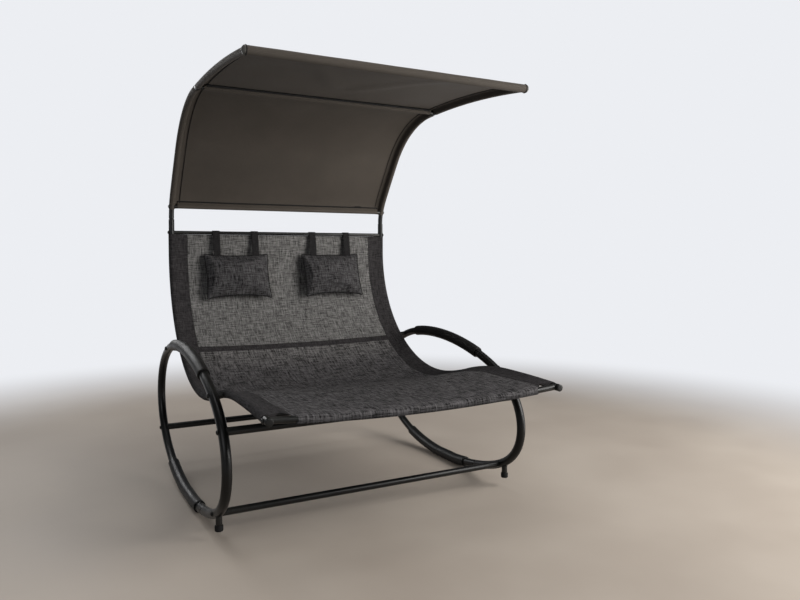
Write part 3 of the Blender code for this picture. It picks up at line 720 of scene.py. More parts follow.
def make_bars():
    """Each bar with the two tubes between which it stands, and where on their path it meets them."""
    hoops, rails, canopy = (HOOP_X, HOOP_R), (RAIL_X, RAIL_R), (RAIL_X, CANOPY_RAIL_R)
    for node, radius, body, tubes, path, place, bow, bolts in (
            ("rear_bar", BAR_R, "frame", hoops, hoop_path, 329.0, 0, True),
            ("mid_bar", BAR_R, "frame", hoops, hoop_path, 156.0, 0, True),
            ("low_bar", LOW_BAR_R, "frame", hoops, hoop_path, 219.7, 0, True),
            ("sling_front_bar", FRONT_BAR_R, "frame", rails, rail_path, FRONT_BAR_AT, FRONT_BAR_BOW,
             True),
            ("sling_top_bar", TOP_BAR_R, "frame", rails, rail_path, TOP_BAR_AT, 0, True),
            ("canopy_low_bar", CANOPY_BAR_R, "canopy", canopy, canopy_path, CANOPY_BAR_AT, 0, True),
            ("canopy_mid_bar", CANOPY_BAR_R, "canopy", canopy, canopy_path, CANOPY_MID_BAR_AT, 0,
             False)):
        crossbar(node, radius, body, *tubes, path(0)(place)[2].yz, bow, bolts)


def make_rails(side, sign):
    path = rail_path(sign * RAIL_X)
    sweep(f"rail_tube_{side}", path, rounded_tube(stops(0, RAIL_LENGTH, 0.012), RAIL_R, 0.0013),
          "black_tube", "frame", 32, f"sling_rail_{side}")
    end, _, outward = path(0)
    out = -X_AXIS.cross(outward)
    sweep(f"rail_plug_{side}", straight_path(end - out * 0.012, out),
          [(0, 0), (0, 0.0122), (0.0124, 0.0122), (0.0124, RAIL_R - 0.0004), (0.0136, RAIL_R),
           (0.0150, RAIL_R - 0.0006), (0.0160, RAIL_R - 0.0024), (0.0163, RAIL_R - 0.0050), (0.0163, 0)],
          "black_plastic", "frame", 32, f"rail_cap_{side}")
    out = Vector((sign, 0, 0))
    for label in ("front", "rear"):
        spacer = f"{label}_joint_spacer_{side}"
        low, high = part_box(spacer)
        centre, width = (low + high) / 2, high.x - low.x
        inner = Vector((low.x if sign > 0 else high.x, centre.y, centre.z))
        profile = [(-0.003, 0), (-0.003, 0.0108), (0.002, 0.0110), (0.006, 0.0122),
                   (width - 0.006, 0.0122), (width - 0.002, 0.0110), (width + 0.005, 0.0108),
                   (width + 0.005, 0)]
        sweep(f"{label}_joint_collar_{side}", straight_path(inner, out), profile, "black_plastic",
              "frame", 32, spacer)
        seat = Vector((sign * (HOOP_X + HOOP_R - SCREW_SINK), centre.y, centre.z))
        bolt(f"{label}_joint_screw_{side}", f"{label}_joint_bolt_{side}", seat, -out, "frame", 0.0095)
    places = stops(0, CANOPY_LENGTH, 0.012) + stops(0.064, 0.070, 0.001) + stops(0.110, 0.130, 0.002)
    wide = [(place, CANOPY_RAIL_R + 0.0011 * smooth(0.0645, 0.0685, place)
             * smooth(0, 0.01, CANOPY_HEM_AT - place + 0.01)) for place in sorted(places)]
    inside = [(place, CANOPY_RAIL_R - 0.0012) for place, _ in reversed(wide)]
    sweep(f"canopy_tube_{side}", canopy_path(sign * RAIL_X), wide + inside, "black_tube", "canopy", 30,
          f"canopy_rail_{side}")


# ---- sling ----
def hem_height(x):
    """Height of the bowed front bar's centreline over the rails' own."""
    return FRONT_BAR_BOW * (1 - (x / (RAIL_X - RAIL_R)) ** 2)


def sling_sag(x, place):
    """How far the sheet hangs away from the sitter: over the bowed front bar, then by its own slack,
    and behind the top bar at its upper edge."""
    slack = SLING_SAG * smooth(0, 0.22, TOP_BAR_AT - place) * max(0.0, 1 - (x / POCKET_X) ** 2)
    place = max(place, SLING_FRONT)
    over_bar = hem_height(x) - HEM_R
    share = smooth(0.03, 0.26, place)
    edge = smooth(0, 0.10, POCKET_X - abs(x)) * smooth(0.03, 0.16, place)
    waves = 0.0007 * edge * ripple(x * 9, place * 7, 1.0)
    behind_bar = SLING_TOP_DROP * smooth(-0.034, 0.0, place - SLING_TOP)
    behind_bar *= smooth(0, 0.026, POCKET_X - 0.004 - abs(x))
    return over_bar + (slack - over_bar) * share + waves + behind_bar


def over(path):
    """Where (x, distance, height) lies, with the height taken over tubes that follow the path."""
    def at(x, place, height):
        centre, _, outward = path(0)(place)
        return Vector((x, centre.y, centre.z)) + outward * height
    return at


flat_point, canopy_point = over(rail_path), over(canopy_path)


def corner_cut(x, place):
    """Between the rails and the bar, the sheet's front edge is cut back in a crescent."""
    notch = 0.036 * smooth(0.512, 0.545, abs(x)) - 0.019 * smooth(0.550, 0.590, abs(x))
    return place + notch * (1 - smooth(0.0, 0.16, place - SLING_FRONT))


def sling_point(x, place, height):
    """Where the sheet's (x, distance, height) lies. Short of the front bar it runs down round it."""
    if place >= SLING_FRONT:
        return flat_point(x, corner_cut(x, place), height)
    lap = (SLING_FRONT - place) * (1 - 0.97 * smooth(0.506, 0.519, abs(x)))
    rest = sling_sag(x, SLING_FRONT)
    reach = HEM_R - (height - rest)
    turn = lap / HEM_R
    return flat_point(x, corner_cut(x, SLING_FRONT) - reach * math.sin(turn),
                      rest + HEM_R - reach * math.cos(turn))


def sling_band(x, place):
    """How proud the sewn bands stand at a point."""
    return BAND_STEP * (abs(x) >= SIDE_BAND_X or WAIST[0] <= place <= WAIST[1])


def sling_outline(place, thin):
    """The sling's closed section at a place: (x, height over the rails, distance along the cloth)."""
    half_t = 0.00015 if thin else SLING_T / 2
    radius = RAIL_R + (NARROW if thin else SLEEVE_OVER)
    xs = [*np.linspace(0.012, SIDE_BAND_X - NARROW, 22), SIDE_BAND_X, 0.531, 0.5415, POCKET_X]
    front, back = ([(x, sling_sag(x, place) + way * (half_t + (0 if thin else sling_band(x, place))))
                    for x in xs] for way in (-1, 1))
    gap, split = RAIL_X - POCKET_X, sling_sag(POCKET_X, place)
    lean, spread = math.atan2(split, gap), math.acos(radius / math.hypot(gap, split))
    round_rail = arc(RAIL_X, 0, radius, spread - math.pi - lean, math.pi - spread - lean, 18)
    return whole_outline(with_reach(front + round_rail + back[::-1]))


def draped(name, plan, outlines, point_at, looks, look_of, body, node):
    """A sheet from its closed sections; plan holds one (place, whether it's a thin end) for each."""
    rows = [[point_at(x, place, n) for x, n, u in outline]
            for outline, (place, thin) in zip(outlines, plan)]
    us = [[u for x, n, u in outline] for outline in outlines]
    vs = [[place] * len(outlines[0]) for place, thin in plan]
    made = skin(name, rows, us, vs, looks, look_of, body)
    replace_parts(made, node)
    return made


def with_ends(places):
    """The plan for draped: full rows at the places, and a thin one just outside each end."""
    rim = 0.0003
    return [(places[0] - rim, True), *((place, False) for place in places), (places[-1] + rim, True)]


def make_sling():
    edge = SLING_FRONT - HEM_LAP
    places = stops(edge, SLING_FRONT - 0.002, 0.0026) + stops(SLING_FRONT, SLING_FRONT + 0.03, 0.005)
    places += stops(SLING_FRONT + 0.04, WAIST[0] - NARROW, 0.0125) + stops(WAIST[0], WAIST[1], 0.012)
    plan = with_ends(places + stops(WAIST[1] + NARROW, SLING_TOP, 0.0125))
    outlines = [sling_outline(place, thin) for place, thin in plan]
    xs = [x for x, n, u in outlines[0]]

    def look_of(row, column):
        x = abs(xs[column] + xs[(column + 1) % len(xs)]) / 2
        place = (plan[row][0] + plan[row + 1][0]) / 2
        if x > SIDE_BAND_X - NARROW or WAIST[0] - NARROW < place < WAIST[1] + NARROW:
            return "sling_dark"
        # the seat's rows take the painted-shade look
        return "sling_light" if place > WAIST[1] else "sling_seat"

    return draped("sling_cloth", plan, outlines, sling_point,
                  ["sling_light", "sling_dark", "sling_seat"], look_of, "frame", "sling_fabric")


def sling_line(spots, face):
    """A line of (point, normal) on the sling's front or back face, through spots of (x, place)."""
    line, way = [], -1 if face == "front" else 1
    for x, place in spots:
        height = sling_sag(x, place) + way * (SLING_T / 2 + sling_band(x, place) + THREAD_LIFT)
        line.append((sling_point(x, place, height), rail_path(0)(place)[2] * way))
    return line


def sew_sling():
    """Two seams along each side band's inner edge, and three across, on both faces."""
    long = stops(SLING_FRONT + 0.004, SLING_TOP - 0.004, 0.02)
    wide = np.linspace(-SIDE_BAND_X + 0.004, SIDE_BAND_X - 0.004, 60)
    hem = 0.0035
    seams = [(f"seam_{side}_{number}", [(sign * x, place) for place in long])
             for side, sign in SIDES.items()
             for number, x in enumerate((SIDE_BAND_X + hem, SIDE_BAND_X + 3 * hem))]
    seams += [(label, [(x, place) for x in wide])
              for label, place in (("waist_low", WAIST[0] + hem), ("waist_high", WAIST[1] - hem),
                                   ("top_edge", SLING_TOP - 0.004))]
    return [stitches(f"sling_{label}_{face}", sling_line(spots, face), "frame")
            for label, spots in seams for face in ("front", "back")]


def ribbon(name, half_width, line_at, point_at, thick, look, body, count=64):
    """A strip of cloth that runs across the bench. line_at(x) is its section, as (place, height)
    pairs, and point_at(x, place, height) is where such a pair lies."""
    rows, us, vs = [], [], []
    for x in (-half_width - NARROW, *np.linspace(-half_width, half_width, count), half_width + NARROW):
        half = thick * (0.2 if abs(x) > half_width else 0.5)
        line = [np.array(spot) for spot in line_at(x)]
        outer, inner, runs = [], [], []
        for number, spot in enumerate(line):
            before, after = line[max(number - 1, 0)], line[min(number + 1, len(line) - 1)]
            along = (after - before) / np.linalg.norm(after - before)
            side = np.array([-along[1], along[0]]) * half
            outer.append(point_at(x, *(spot + side)))
            inner.append(point_at(x, *(spot - side)))
            runs.append(runs[-1] + np.linalg.norm(spot - before) if number else 0.0)
        rows.append(outer + inner[::-1])
        us.append([x] * len(rows[-1]))
        vs.append(runs + runs[::-1])
    return skin(name, rows, us, vs, [look], lambda row, column: look, body)


def make_front_hem():
    """The sling's front edge goes on round the bowed bar, and is sewn to the sheet behind it."""
    radius, ends, sewn = HEM_R + 0.0017, 0.503, 0.078
    under_sheet = SLING_T + 0.0005

    def line_at(x):
        bar, under = hem_height(x), sling_sag(x, sewn) + under_sheet
        line = arc(FRONT_BAR_AT, bar, radius, math.radians(-196), math.radians(-262), 12)
        low, run = bar + radius, sewn - 0.014 - FRONT_BAR_AT
        line += [(FRONT_BAR_AT + share * run, low + (under - low) * smooth(0, 1, share))
                 for share in (0.35, 0.7, 0.9)]
        return line + [(sewn - 0.014, under), (sewn, under)]

    # the hem takes the seat's painted-shade look
    pieces = [ribbon("sling_front_hem", ends, line_at, flat_point, SLING_T, "sling_seat", "frame", 72)]
    for label, place in (("a", sewn - 0.003), ("b", sewn - 0.010)):
        line = [(flat_point(x, place, sling_sag(x, place) + SLING_T / 2 + under_sheet),
                 rail_path(0)(place)[2]) for x in np.linspace(-ends + 0.006, ends - 0.006, 60)]
        pieces.append(stitches(f"front_hem_seam_{label}", line, "frame"))
    return pieces


# ---- canopy ----
def canopy_sag(x, place):
    """The cloth pulls in a little between the rails and the bars, with soft slanting folds."""
    bars = smooth(0, 0.10, abs(place - CANOPY_MID_BAR_AT)) * smooth(0, 0.08, place - CANOPY_HEM_AT)
    bars *= smooth(0, 0.06, CANOPY_LENGTH - place)
    across = max(0.0, 1 - (x / SLEEVE_X) ** 2)
    edge = smooth(0, 0.12, SLEEVE_X - abs(x))
    folds = 0.0022 * ripple(x * 5 + place * 4, place * 5 - x * 3, 2.0)
    roof = smooth(1.04, 1.25, place)
    crease = 0.0060 * roof * math.exp(-((x - 0.10 - 0.55 * (place - 1.25)) / 0.055) ** 2)
    return bars * (-0.004 * across + edge * folds) - crease * bars


def canopy_outline(place, thin, notch):
    """The canopy's closed section at a place, as sling_outline. The sheet lies over its tubes; its
    side sleeve goes round them, but for a notch at the middle bar."""
    radius = CANOPY_RAIL_R + (NARROW if thin else SLEEVE_OVER)
    shrink = NARROW if thin else 0.0
    xs = list(np.linspace(0.012, SLEEVE_X, 24))
    outer = [(x, CANOPY_OUTER + canopy_sag(x, place) - shrink) for x in xs]
    inner = [(x, CANOPY_OUTER + canopy_sag(x, place) - CANOPY_T + shrink) for x in reversed(xs)]
    round_rail = arc(RAIL_X, 0, radius, math.pi / 2, math.radians(55 if notch else -168), 14)
    tail = [(0.5815, CANOPY_INNER - 0.0042), (0.572, CANOPY_INNER - 0.0012)]
    if notch:
        tail = [(RAIL_X, CANOPY_INNER), (0.58, CANOPY_INNER)]
    return whole_outline(with_reach(outer + round_rail + tail + inner))


def make_canopy():
    notch = (CANOPY_MID_BAR_AT - 0.017, CANOPY_MID_BAR_AT + 0.017)
    plan = with_ends(stops(CANOPY_HEM_AT + 0.001, notch[0] - NARROW, 0.014) + stops(*notch, 0.012)
                     + stops(notch[1] + NARROW, CANOPY_LENGTH + 0.002, 0.014))
    outlines = [canopy_outline(place, thin, notch[0] <= place <= notch[1]) for place, thin in plan]
    return draped("canopy_sheet", plan, outlines, canopy_point, ["canopy_cloth"],
                  lambda row, column: "canopy_cloth", "canopy", "canopy_fabric")


def pocket_line(place, radius, low_join, high_join):
    """Section of a pocket round a canopy bar: from the sheet, round the bar's near side, and back."""
    def line_at(x):
        reach = radius + 0.0005 * ripple(x * 11, place * 3, 4.0)
        dip = (CANOPY_INNER - 0.001 - reach * 0.6) * 0.5 + 0.0005
        return [(low_join - 0.006, CANOPY_INNER - 0.0008), (low_join, CANOPY_INNER - 0.0010),
                (low_join * 0.5 + (place - reach * 0.75) * 0.5, dip),
                *arc(place, 0, reach, math.radians(222), math.radians(330), 13),
                ((place + reach * 0.9) * 0.4 + high_join * 0.6, CANOPY_INNER * 0.45),
                (high_join, CANOPY_INNER - 0.0016), (high_join + 0.004, CANOPY_INNER - 0.0008)]
    return line_at


def make_canopy_details():
    """Pockets, seams and a pull tab of the canopy, and dark cords drawn as painted shadow lines above the
    pockets and along the sleeves' inner edges.
    """
    pieces = []

    def dark_cord(name, line, radius, sides=8):
        pieces.append(ring_tube(name, line, radius, "binding", "canopy", sides, closed=False))

    def across(place, half, under):
        return [canopy_point(x, place, CANOPY_INNER - under + canopy_sag(x, place))
                for x in np.linspace(-half, half, 70)]

    for label, place, low_join, high_join in (
            ("low_hem", CANOPY_BAR_AT, CANOPY_HEM_AT + 0.007, CANOPY_BAR_AT + 0.018),
            ("mid_pocket", CANOPY_MID_BAR_AT, CANOPY_MID_BAR_AT - 0.016, CANOPY_MID_BAR_AT + 0.012)):
        line_at = pocket_line(place, CANOPY_BAR_R + 0.0014, low_join, high_join)
        pieces.append(ribbon(f"canopy_{label}", 0.572, line_at, canopy_point, CANOPY_T, "canopy_cloth",
                             "canopy"))
    # painted shadow: black cords stand for the dark shadow lines above the low hem's pocket and along the
    # middle pocket
    place = CANOPY_BAR_AT + 0.0235
    ends = [canopy_point(x, place - 0.024, CANOPY_INNER - 0.0016) for x in (-0.5725, 0.5725)]
    dark_cord("canopy_low_shadow_cord", [ends[0], *across(place, 0.570, 0.0024), ends[1]], 0.0031)
    dark_cord("canopy_mid_shadow_cord", across(CANOPY_MID_BAR_AT + 0.0175, 0.562, 0.0052), 0.0052, 10)
    dark_cord("canopy_pull_tab", [canopy_point(x, CANOPY_BAR_AT + 0.028, CANOPY_INNER - 0.0036)
                             for x in (0.430, 0.442, 0.454, 0.466)], 0.0032, 10)
    make_canopy_roll(pieces)
    for side, sign in SIDES.items():
        # painted shade: a dark cord along each sleeve's inner edge stands for the shade that falls there
        line = [canopy_point(sign * SLEEVE_X, place, CANOPY_INNER - 0.0016)
                for place in stops(CANOPY_HEM_AT + 0.02, CANOPY_LENGTH - 0.03, 0.02)]
        dark_cord(f"canopy_sleeve_edge_{side}", line, 0.0014)
        for face, way, height in (("inner", -1, CANOPY_INNER - 0.0024),
                                  ("outer", 1, CANOPY_OUTER + THREAD_LIFT)):
            line = [(canopy_point(sign * (SLEEVE_X + 0.004), place, height),
                     canopy_path(0)(place)[2] * way)
                    for place in stops(CANOPY_HEM_AT + 0.004, CANOPY_LENGTH - 0.03, 0.02)]
            pieces.append(stitches(f"canopy_seam_{side}_{face}", line, "canopy", look="binding"))
    return pieces


def make_canopy_roll(pieces):
    """The front edge is wound round its bar and sewn down behind it."""
    centre_s = CANOPY_LENGTH + CANOPY_ROLL_R + 0.0003
    radius, half = CANOPY_ROLL_R + 0.0011, CANOPY_HALF_WIDTH - 0.014

    def line_at(x):
        wave = radius + 0.0004 * ripple(x * 13, 1.0, 5.0)
        return [(CANOPY_LENGTH - 0.034, CANOPY_OUTER + 0.0008),
                (CANOPY_LENGTH - 0.014, CANOPY_OUTER + 0.0016),
                *arc(centre_s, 0, wave, math.radians(104), math.radians(-118), 23),
                (CANOPY_LENGTH - 0.012, -radius * 0.45), (CANOPY_LENGTH - 0.028, CANOPY_INNER - 0.0012),
                (CANOPY_LENGTH - 0.034, CANOPY_INNER - 0.0010)]

    pieces.append(ribbon("canopy_front_hem", half, line_at, canopy_point, CANOPY_T, "canopy_cloth",
                         "canopy"))
    spot = canopy_path(0)(centre_s)[0]
    tube = rounded_tube([0.004 - CANOPY_HALF_WIDTH, 0, CANOPY_HALF_WIDTH - 0.004], CANOPY_ROLL_R, 0.0012)
    sweep("canopy_roll_tube", bar_path(spot.y, spot.z), tube, "black_tube", "canopy", 32,
          "canopy_front_bar")
    rim = 0.0178
    profile = [(0, 0), (0, 0.0146), (0.0028, 0.0146), (0.0030, 0.0170), (0.0042, rim), (0.0066, 0.0176),
               (0.0098, 0.0160), (0.0128, 0.0130), (0.0152, 0.0090), (0.0168, 0.0045), (0.0173, 0)]
    for side, sign in SIDES.items():
        base = Vector((sign * half, spot.y, spot.z))
        collar = [base + Vector((sign * 0.0018, *spot)) for spot in circle(0, 0, rim, 32)]
        pieces.append(ring_tube(f"canopy_plug_collar_{side}", collar, 0.0016, "binding", "canopy"))
        sweep(f"canopy_end_plug_{side}", straight_path(base, Vector((sign, 0, 0))), profile, "plug_grey",
              "canopy", 32, f"canopy_plug_{side}")


# ---- pillows ----
SIM_FRAMES = 22
FLAT_CAP = 0.007           # how far the solver may move a point in the pillow's own plane


def pillow_frame(sign):
    """The top bar's middle, and the pillow's middle, way down, way to the sitter and height."""
    axis = middle_of("sling_top_bar")
    top = Vector((0, axis.y + PILLOW_TOP[0], axis.z + PILLOW_TOP[1]))
    bottom = Vector((0, axis.y + PILLOW_BOTTOM[0], axis.z + PILLOW_BOTTOM[1]))
    down = (bottom - top).normalized()
    facing = X_AXIS.cross(down).normalized()
    if facing.y > 0:
        facing.negate()
    centre = (top + bottom) / 2
    centre.x = sign * PILLOW_X
    return axis, centre, down, facing, (bottom - top).length


def stuffed(width, height, cells_x, cells_y, seed):
    """Two panels sewn round their rim and blown up by the cloth solver, flat in XY."""
    shape = bmesh.new()
    grid = {}
    for layer in (1, -1):
        for row in range(cells_y + 1):
            for column in range(cells_x + 1):
                rim = row in (0, cells_y) or column in (0, cells_x)
                if rim and layer < 0:
                    grid[layer, row, column] = grid[1, row, column]
                    continue
                u, v = 2 * column / cells_x - 1, 2 * row / cells_y - 1
                puff = 0.010 * (1 - u ** 4) * (1 - v ** 4) + 0.0012 * ripple(u * 4 + seed, v * 4, seed)
                pull = 0.05 if v > 0 else 0.12
                spot = Vector((u * width / 2 * (1 - 0.045 * (1 - v * v)),
                               v * height / 2 * (1 - pull * (1 - u * u)), 0 if rim else layer * puff))
                grid[layer, row, column] = shape.verts.new(spot)
    for layer in (1, -1):
        for row in range(cells_y):
            for column in range(cells_x):
                face = [grid[layer, row, column], grid[layer, row, column + 1],
                        grid[layer, row + 1, column + 1], grid[layer, row + 1, column]]
                shape.faces.new(face if layer > 0 else reversed(face))
    mesh = bpy.data.meshes.new("stuffing")
    shape.to_mesh(mesh)
    shape.free()
    made = linked("stuffing", mesh)
    start = np.array([vertex.co for vertex in mesh.vertices])
    moved = puffed(made)
    change = moved - start
    flat_move = np.linalg.norm(change[:, :2], axis=1, keepdims=True)
    change[:, :2] *= np.minimum(1, FLAT_CAP / np.maximum(flat_move, 1e-9))
    moved = start + change
    faces = [list(face.vertices) for face in mesh.polygons]
    bpy.data.objects.remove(made)
    return moved, faces


def puffed(made):
    """Vertex places after the cloth solver has blown the cover up against its own seams."""
    cloth = made.modifiers.new("Cloth", "CLOTH")
    settings = cloth.settings
    settings.quality = 8
    settings.mass = 0.2
    settings.tension_stiffness = settings.compression_stiffness = 25
    settings.shear_stiffness = 8
    settings.bending_stiffness = 0.4
    settings.use_pressure = True
    settings.uniform_pressure_force = 4.0
    settings.effector_weights.gravity = 0
    cloth.collision_settings.use_collision = False
    cloth.point_cache.frame_start, cloth.point_cache.frame_end = 1, SIM_FRAMES
    scene = bpy.context.scene
    for step in range(1, SIM_FRAMES + 1):
        scene.frame_set(step)
    solved = made.evaluated_get(bpy.context.evaluated_depsgraph_get())
    places = np.array([vertex.co for vertex in solved.data.vertices])
    scene.frame_set(1)
    return places


def make_pillow(side, sign):
    _, centre, down, facing, length = pillow_frame(sign)
    co, faces = stuffed(0.350, length + 0.022, *PILLOW_CELLS, seed=1.0 if sign < 0 else 2.6)
    front, back = co[:, 2].max(), -co[:, 2].min()
    co[:, 2] = np.where(co[:, 2] > 0, co[:, 2] * PILLOW_FRONT / front, co[:, 2] * PILLOW_BACK / back)
    co[:, 0] *= PILLOW_WIDTH / (co[:, 0].max() - co[:, 0].min())
    co[:, 1] *= (length + 0.016) / (co[:, 1].max() - co[:, 1].min())
    points = [centre + X_AXIS * x + down * -y + facing * z for x, y, z in co]
    uvs = [[(co[corner][0] + 0.4 * sign, co[corner][1]) for corner in face] for face in faces]
    made = turn_outward(add_mesh(f"pillow_cushion_{side}", points, faces, "pillow_cloth",
                                 f"pillow_{side}", uvs=uvs, sharp=180))
    subdivide = made.modifiers.new("Smooth", "SUBSURF")
    subdivide.levels = subdivide.render_levels = 1
    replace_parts(made, f"pillow_{side}")
    bead = [points[number] for number in rim_numbers()]
    bead = [(bead[n - 1] + bead[n] * 2 + bead[(n + 1) % len(bead)]) / 4 for n in range(len(bead))]
    ring_tube(f"pillow_piping_{side}", bead, 0.0021, "strap_webbing", f"pillow_{side}", 8)


def rim_numbers():
    """Vertex numbers round a pillow's sewn edge, in order. Its front layer comes first, row by row."""
    columns, rows = PILLOW_CELLS[0] + 1, PILLOW_CELLS[1] + 1
    return [*range(columns), *(row * columns + columns - 1 for row in range(1, rows)),
            *((rows - 1) * columns + column for column in range(columns - 2, -1, -1)),
            *(row * columns for row in range(rows - 2, 0, -1))]


def make_straps(side, sign):
    axis, centre, down, facing, length = pillow_frame(sign)
    top_edge = centre - down * (length / 2 + 0.004)
    half, loop_r, thick = STRAP_WIDTH / 2, TOP_BAR_R + 0.0009, 0.0022
    for number, offset in ((1, -STRAP_SPACING / 2), (2, STRAP_SPACING / 2)):
        x = sign * PILLOW_X + offset
        profile = [(x - half + 2 * half * share, loop_r + thick + 0.0003 * math.sin(math.pi * share))
                   for share in np.linspace(0, 1, 9)] + [(x + half, loop_r), (x - half, loop_r)]
        band = cloth_ring(f"strap_ring_{side}_{number}", axis, profile, f"strap_loops_{side}")
        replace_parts(band, f"strap_loop_{side}_{number}")
        strap_drop(side, number, x, half, axis, loop_r + thick, top_edge, down, facing)


def cloth_ring(name, axis, profile, body):
    """A loop of webbing round the top bar, with UV along it."""
    sides, points, faces, uvs = 40, [], [], []
    for place, radius in profile:
        points += [Vector((place, *spot)) for spot in circle(axis.y, axis.z, radius, sides)]
    for ring, (u, radius) in enumerate(profile):
        there = (ring + 1) % len(profile)
        faces += between(ring * sides, there * sides, sides)
        around, other = 2 * math.pi * radius / sides, profile[there][0]
        uvs += [[(u, around * corner), (u, around * (corner + 1)), (other, around * (corner + 1)),
                 (other, around * corner)] for corner in range(sides)]
    return turn_outward(add_mesh(name, points, faces, "strap_webbing", body, uvs=uvs))


def toward(facing, along):
    """The direction across a strap that runs along, on the sitter's side."""
    out = X_AXIS.cross(along.normalized()).normalized()
    return -out if out.dot(facing) < 0 else out


def strap_drop(side, number, x, half, axis, ring_r, top_edge, down, facing):
    """The doubled strap, with its seams, from the loop down to the pillow's top edge."""
    start = Vector((0, axis.y - ring_r + 0.0006, axis.z + 0.001))
    lower = Vector((0, axis.y - ring_r * 0.92, axis.z - ring_r * 0.9))
    end = Vector((0, top_edge.y, top_edge.z)) + down * 0.010 + facing * 0.007
    knots = [start, lower, lower.lerp(end, 0.35) + facing * 0.0015,
             lower.lerp(end, 0.72) + facing * 0.0005, end]
    line = [catmull(knots, t) for t in np.linspace(0, len(knots) - 1, 26)]
    last, thick = len(line) - 1, 0.0030
    shares = np.linspace(-1, 1, 9)
    corners = [(u, 1) for u in shares] + [(u, -1) for u in shares[::-1]]
    rows, us, vs, run = [], [], [], 0.0
    for index, spot in enumerate(line):
        out = toward(facing, line[min(index + 1, last)] - line[max(index - 1, 0)])
        run += (spot - line[index - 1]).length if index else 0
        narrow = half * (1 - 0.035 * math.sin(math.pi * index / last))
        rows.append([Vector((x + u * narrow, spot.y, spot.z))
                     + out * (way * thick / 2 * (1 - 0.55 * abs(u) ** 8)) for u, way in corners])
        us.append([x + u * half + (0.05 if way < 0 else 0) for u, way in corners])
        vs.append([run] * len(corners))
    made = skin(f"strap_band_{side}_{number}", rows, us, vs, ["strap_webbing"],
                lambda row, column: "strap_webbing", f"pillow_{side}")
    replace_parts(made, f"strap_{side}_{number}")
    for label, u in (("a", -0.86), ("b", 0.86)):
        seam = []
        for index in range(2, last):
            out = toward(facing, line[index + 1] - line[index - 1])
            lift = out * (thick / 2 + THREAD_LIFT)
            seam.append((Vector((x + u * half, line[index].y, line[index].z)) + lift, out))
        stitches(f"strap_seam_{side}_{number}_{label}", seam, f"pillow_{side}",
                              0.0055, 0.0036, 0.00045)


def catmull(knots, t):
    """A point on a smooth curve through the knots; t counts them."""
    index = min(int(t), len(knots) - 2)
    share = t - index
    a, b = knots[max(index - 1, 0)], knots[index]
    c, d = knots[index + 1], knots[min(index + 2, len(knots) - 1)]
    return 0.5 * ((2 * b) + (c - a) * share + (2 * a - 5 * b + 4 * c - d) * share ** 2
                  + (3 * b - a - 3 * c + d) * share ** 3)


# ---- studio ----
WALL = (0.84, 0.855, 0.89, 1.0)


def make_stage():
    """A pale floor that fades into the pale studio round it."""
    made = Nodes("studio_floor")
    place = made.object_place()
    cloud = made.noise(place, 1.3, 4.0)
    fine = made.noise(place, 260.0, 2.0)
    made.set(Base_Color=made.mix(made.spread(cloud, 0.3, 0.7), rgb(178, 166, 154), rgb(190, 179, 167)),
             Roughness=made.spread(cloud, 0.3, 0.7, 0.5, 0.62), Normal=made.bump(fine, 0.0002, 0.2))
    away = made.add("ShaderNodeVectorMath", {0: place}, operation="LENGTH").outputs["Value"]
    far = made.rise(away, 2.1, 4.4)
    glow = made.add("ShaderNodeEmission", {0: WALL, 1: 1.0})
    blend = made.add("ShaderNodeMixShader", {0: far})
    made.feed(blend.inputs[1], made.shader.outputs[0])
    made.feed(blend.inputs[2], glow.outputs[0])
    made.feed(made.tree.nodes["Material Output"].inputs[0], blend.outputs[0])
    mesh = bpy.data.meshes.new("floor")
    mesh.from_pydata([(-60, -60, 0), (60, -60, 0), (60, 60, 0), (-60, 60, 0)], [], [[0, 1, 2, 3]])
    mesh.materials.append(made.material)
    floor = linked("floor", mesh)
    floor.visible_diffuse = False      # the lamps alone light the bench


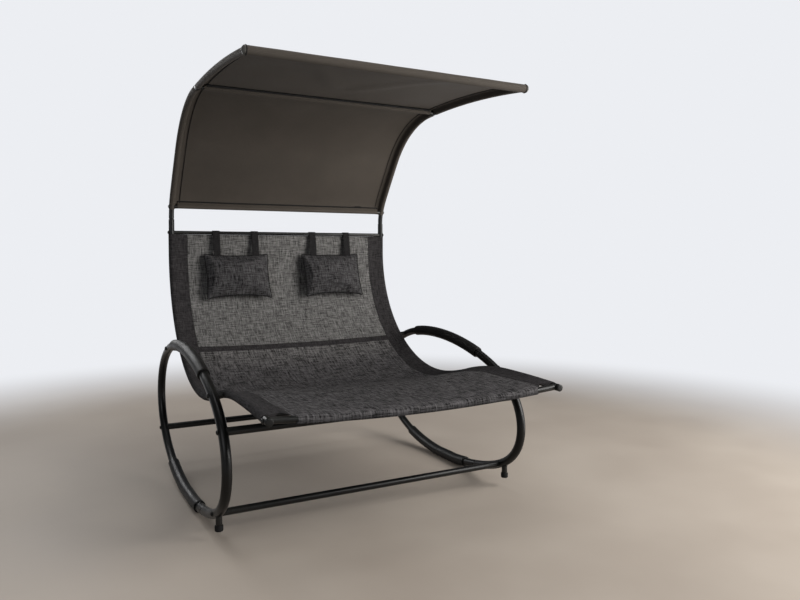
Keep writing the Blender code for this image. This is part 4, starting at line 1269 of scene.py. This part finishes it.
def make_lights():
    world = bpy.data.worlds.new("studio")
    bpy.context.scene.world = world
    world.use_nodes = True
    tree = world.node_tree
    tree.nodes.clear()
    seen, light_from = (tree.nodes.new("ShaderNodeBackground") for _ in range(2))
    seen.inputs[0].default_value, seen.inputs[1].default_value = WALL, 1.0
    light_from.inputs[0].default_value, light_from.inputs[1].default_value = (0.94, 0.96, 1.0, 1), 0.11
    rays, choose = tree.nodes.new("ShaderNodeLightPath"), tree.nodes.new("ShaderNodeMixShader")
    tree.links.new(rays.outputs["Is Camera Ray"], choose.inputs[0])
    tree.links.new(light_from.outputs[0], choose.inputs[1])
    tree.links.new(seen.outputs[0], choose.inputs[2])
    tree.links.new(choose.outputs[0], tree.nodes.new("ShaderNodeOutputWorld").inputs[0])
    bpy.context.scene.view_settings.view_transform = "Standard"
    for name, spot, aim, size, power, colour in (
            ("key", (3.0, -3.0, 2.3), (0, 0.1, 0.95), 3.2, 225, (1.0, 0.985, 0.96)),
            ("fill", (-3.0, -2.4, 2.4), (0, 0.2, 0.8), 2.6, 26, (0.95, 0.975, 1.0)),
            ("low", (2.0, -1.0, 0.45), (0.1, 0.1, 2.0), 1.0, 7, (1.0, 0.97, 0.93)),
            ("top", (0.0, 0.3, 4.2), (0, 0.2, 0.0), 3.0, 40, (1.0, 1.0, 1.0)),
            ("rim", (-1.4, 3.6, 2.4), (0, 0.2, 1.0), 2.0, 40, (1.0, 1.0, 1.0))):
        light = bpy.data.lights.new(name, "AREA")
        light.shape = "DISK"
        light.size, light.energy, light.color = size, power, colour
        light.spread = math.radians(80 if name == "low" else 180)
        lamp = linked(name, light)
        lamp.location = spot
        lamp.rotation_euler = (Vector(aim) - Vector(spot)).to_track_quat("-Z", "Y").to_euler()


def make_camera():
    data = bpy.data.cameras.new("camera")
    data.lens, data.sensor_width, data.shift_y = 31.67, 36.0, -0.0275
    camera = bpy.context.scene.camera = linked("camera", data)
    camera.location = (-1.294, -2.965, 1.080)
    camera.rotation_euler = (math.radians(90 - 2.11), 0, -math.radians(28.46))


def main():
    for side, sign in SIDES.items():
        make_hoops(side, sign)
        make_stop_foot(side, sign)
        make_rails(side, sign)
    make_bars()
    sling = make_sling()
    sling_pieces = sew_sling() + make_front_hem()
    canopy = make_canopy()
    canopy_pieces = make_canopy_details()
    for side, sign in SIDES.items():
        make_pillow(side, sign)
        make_straps(side, sign)
    make_stage()
    make_lights()
    make_camera()


main()
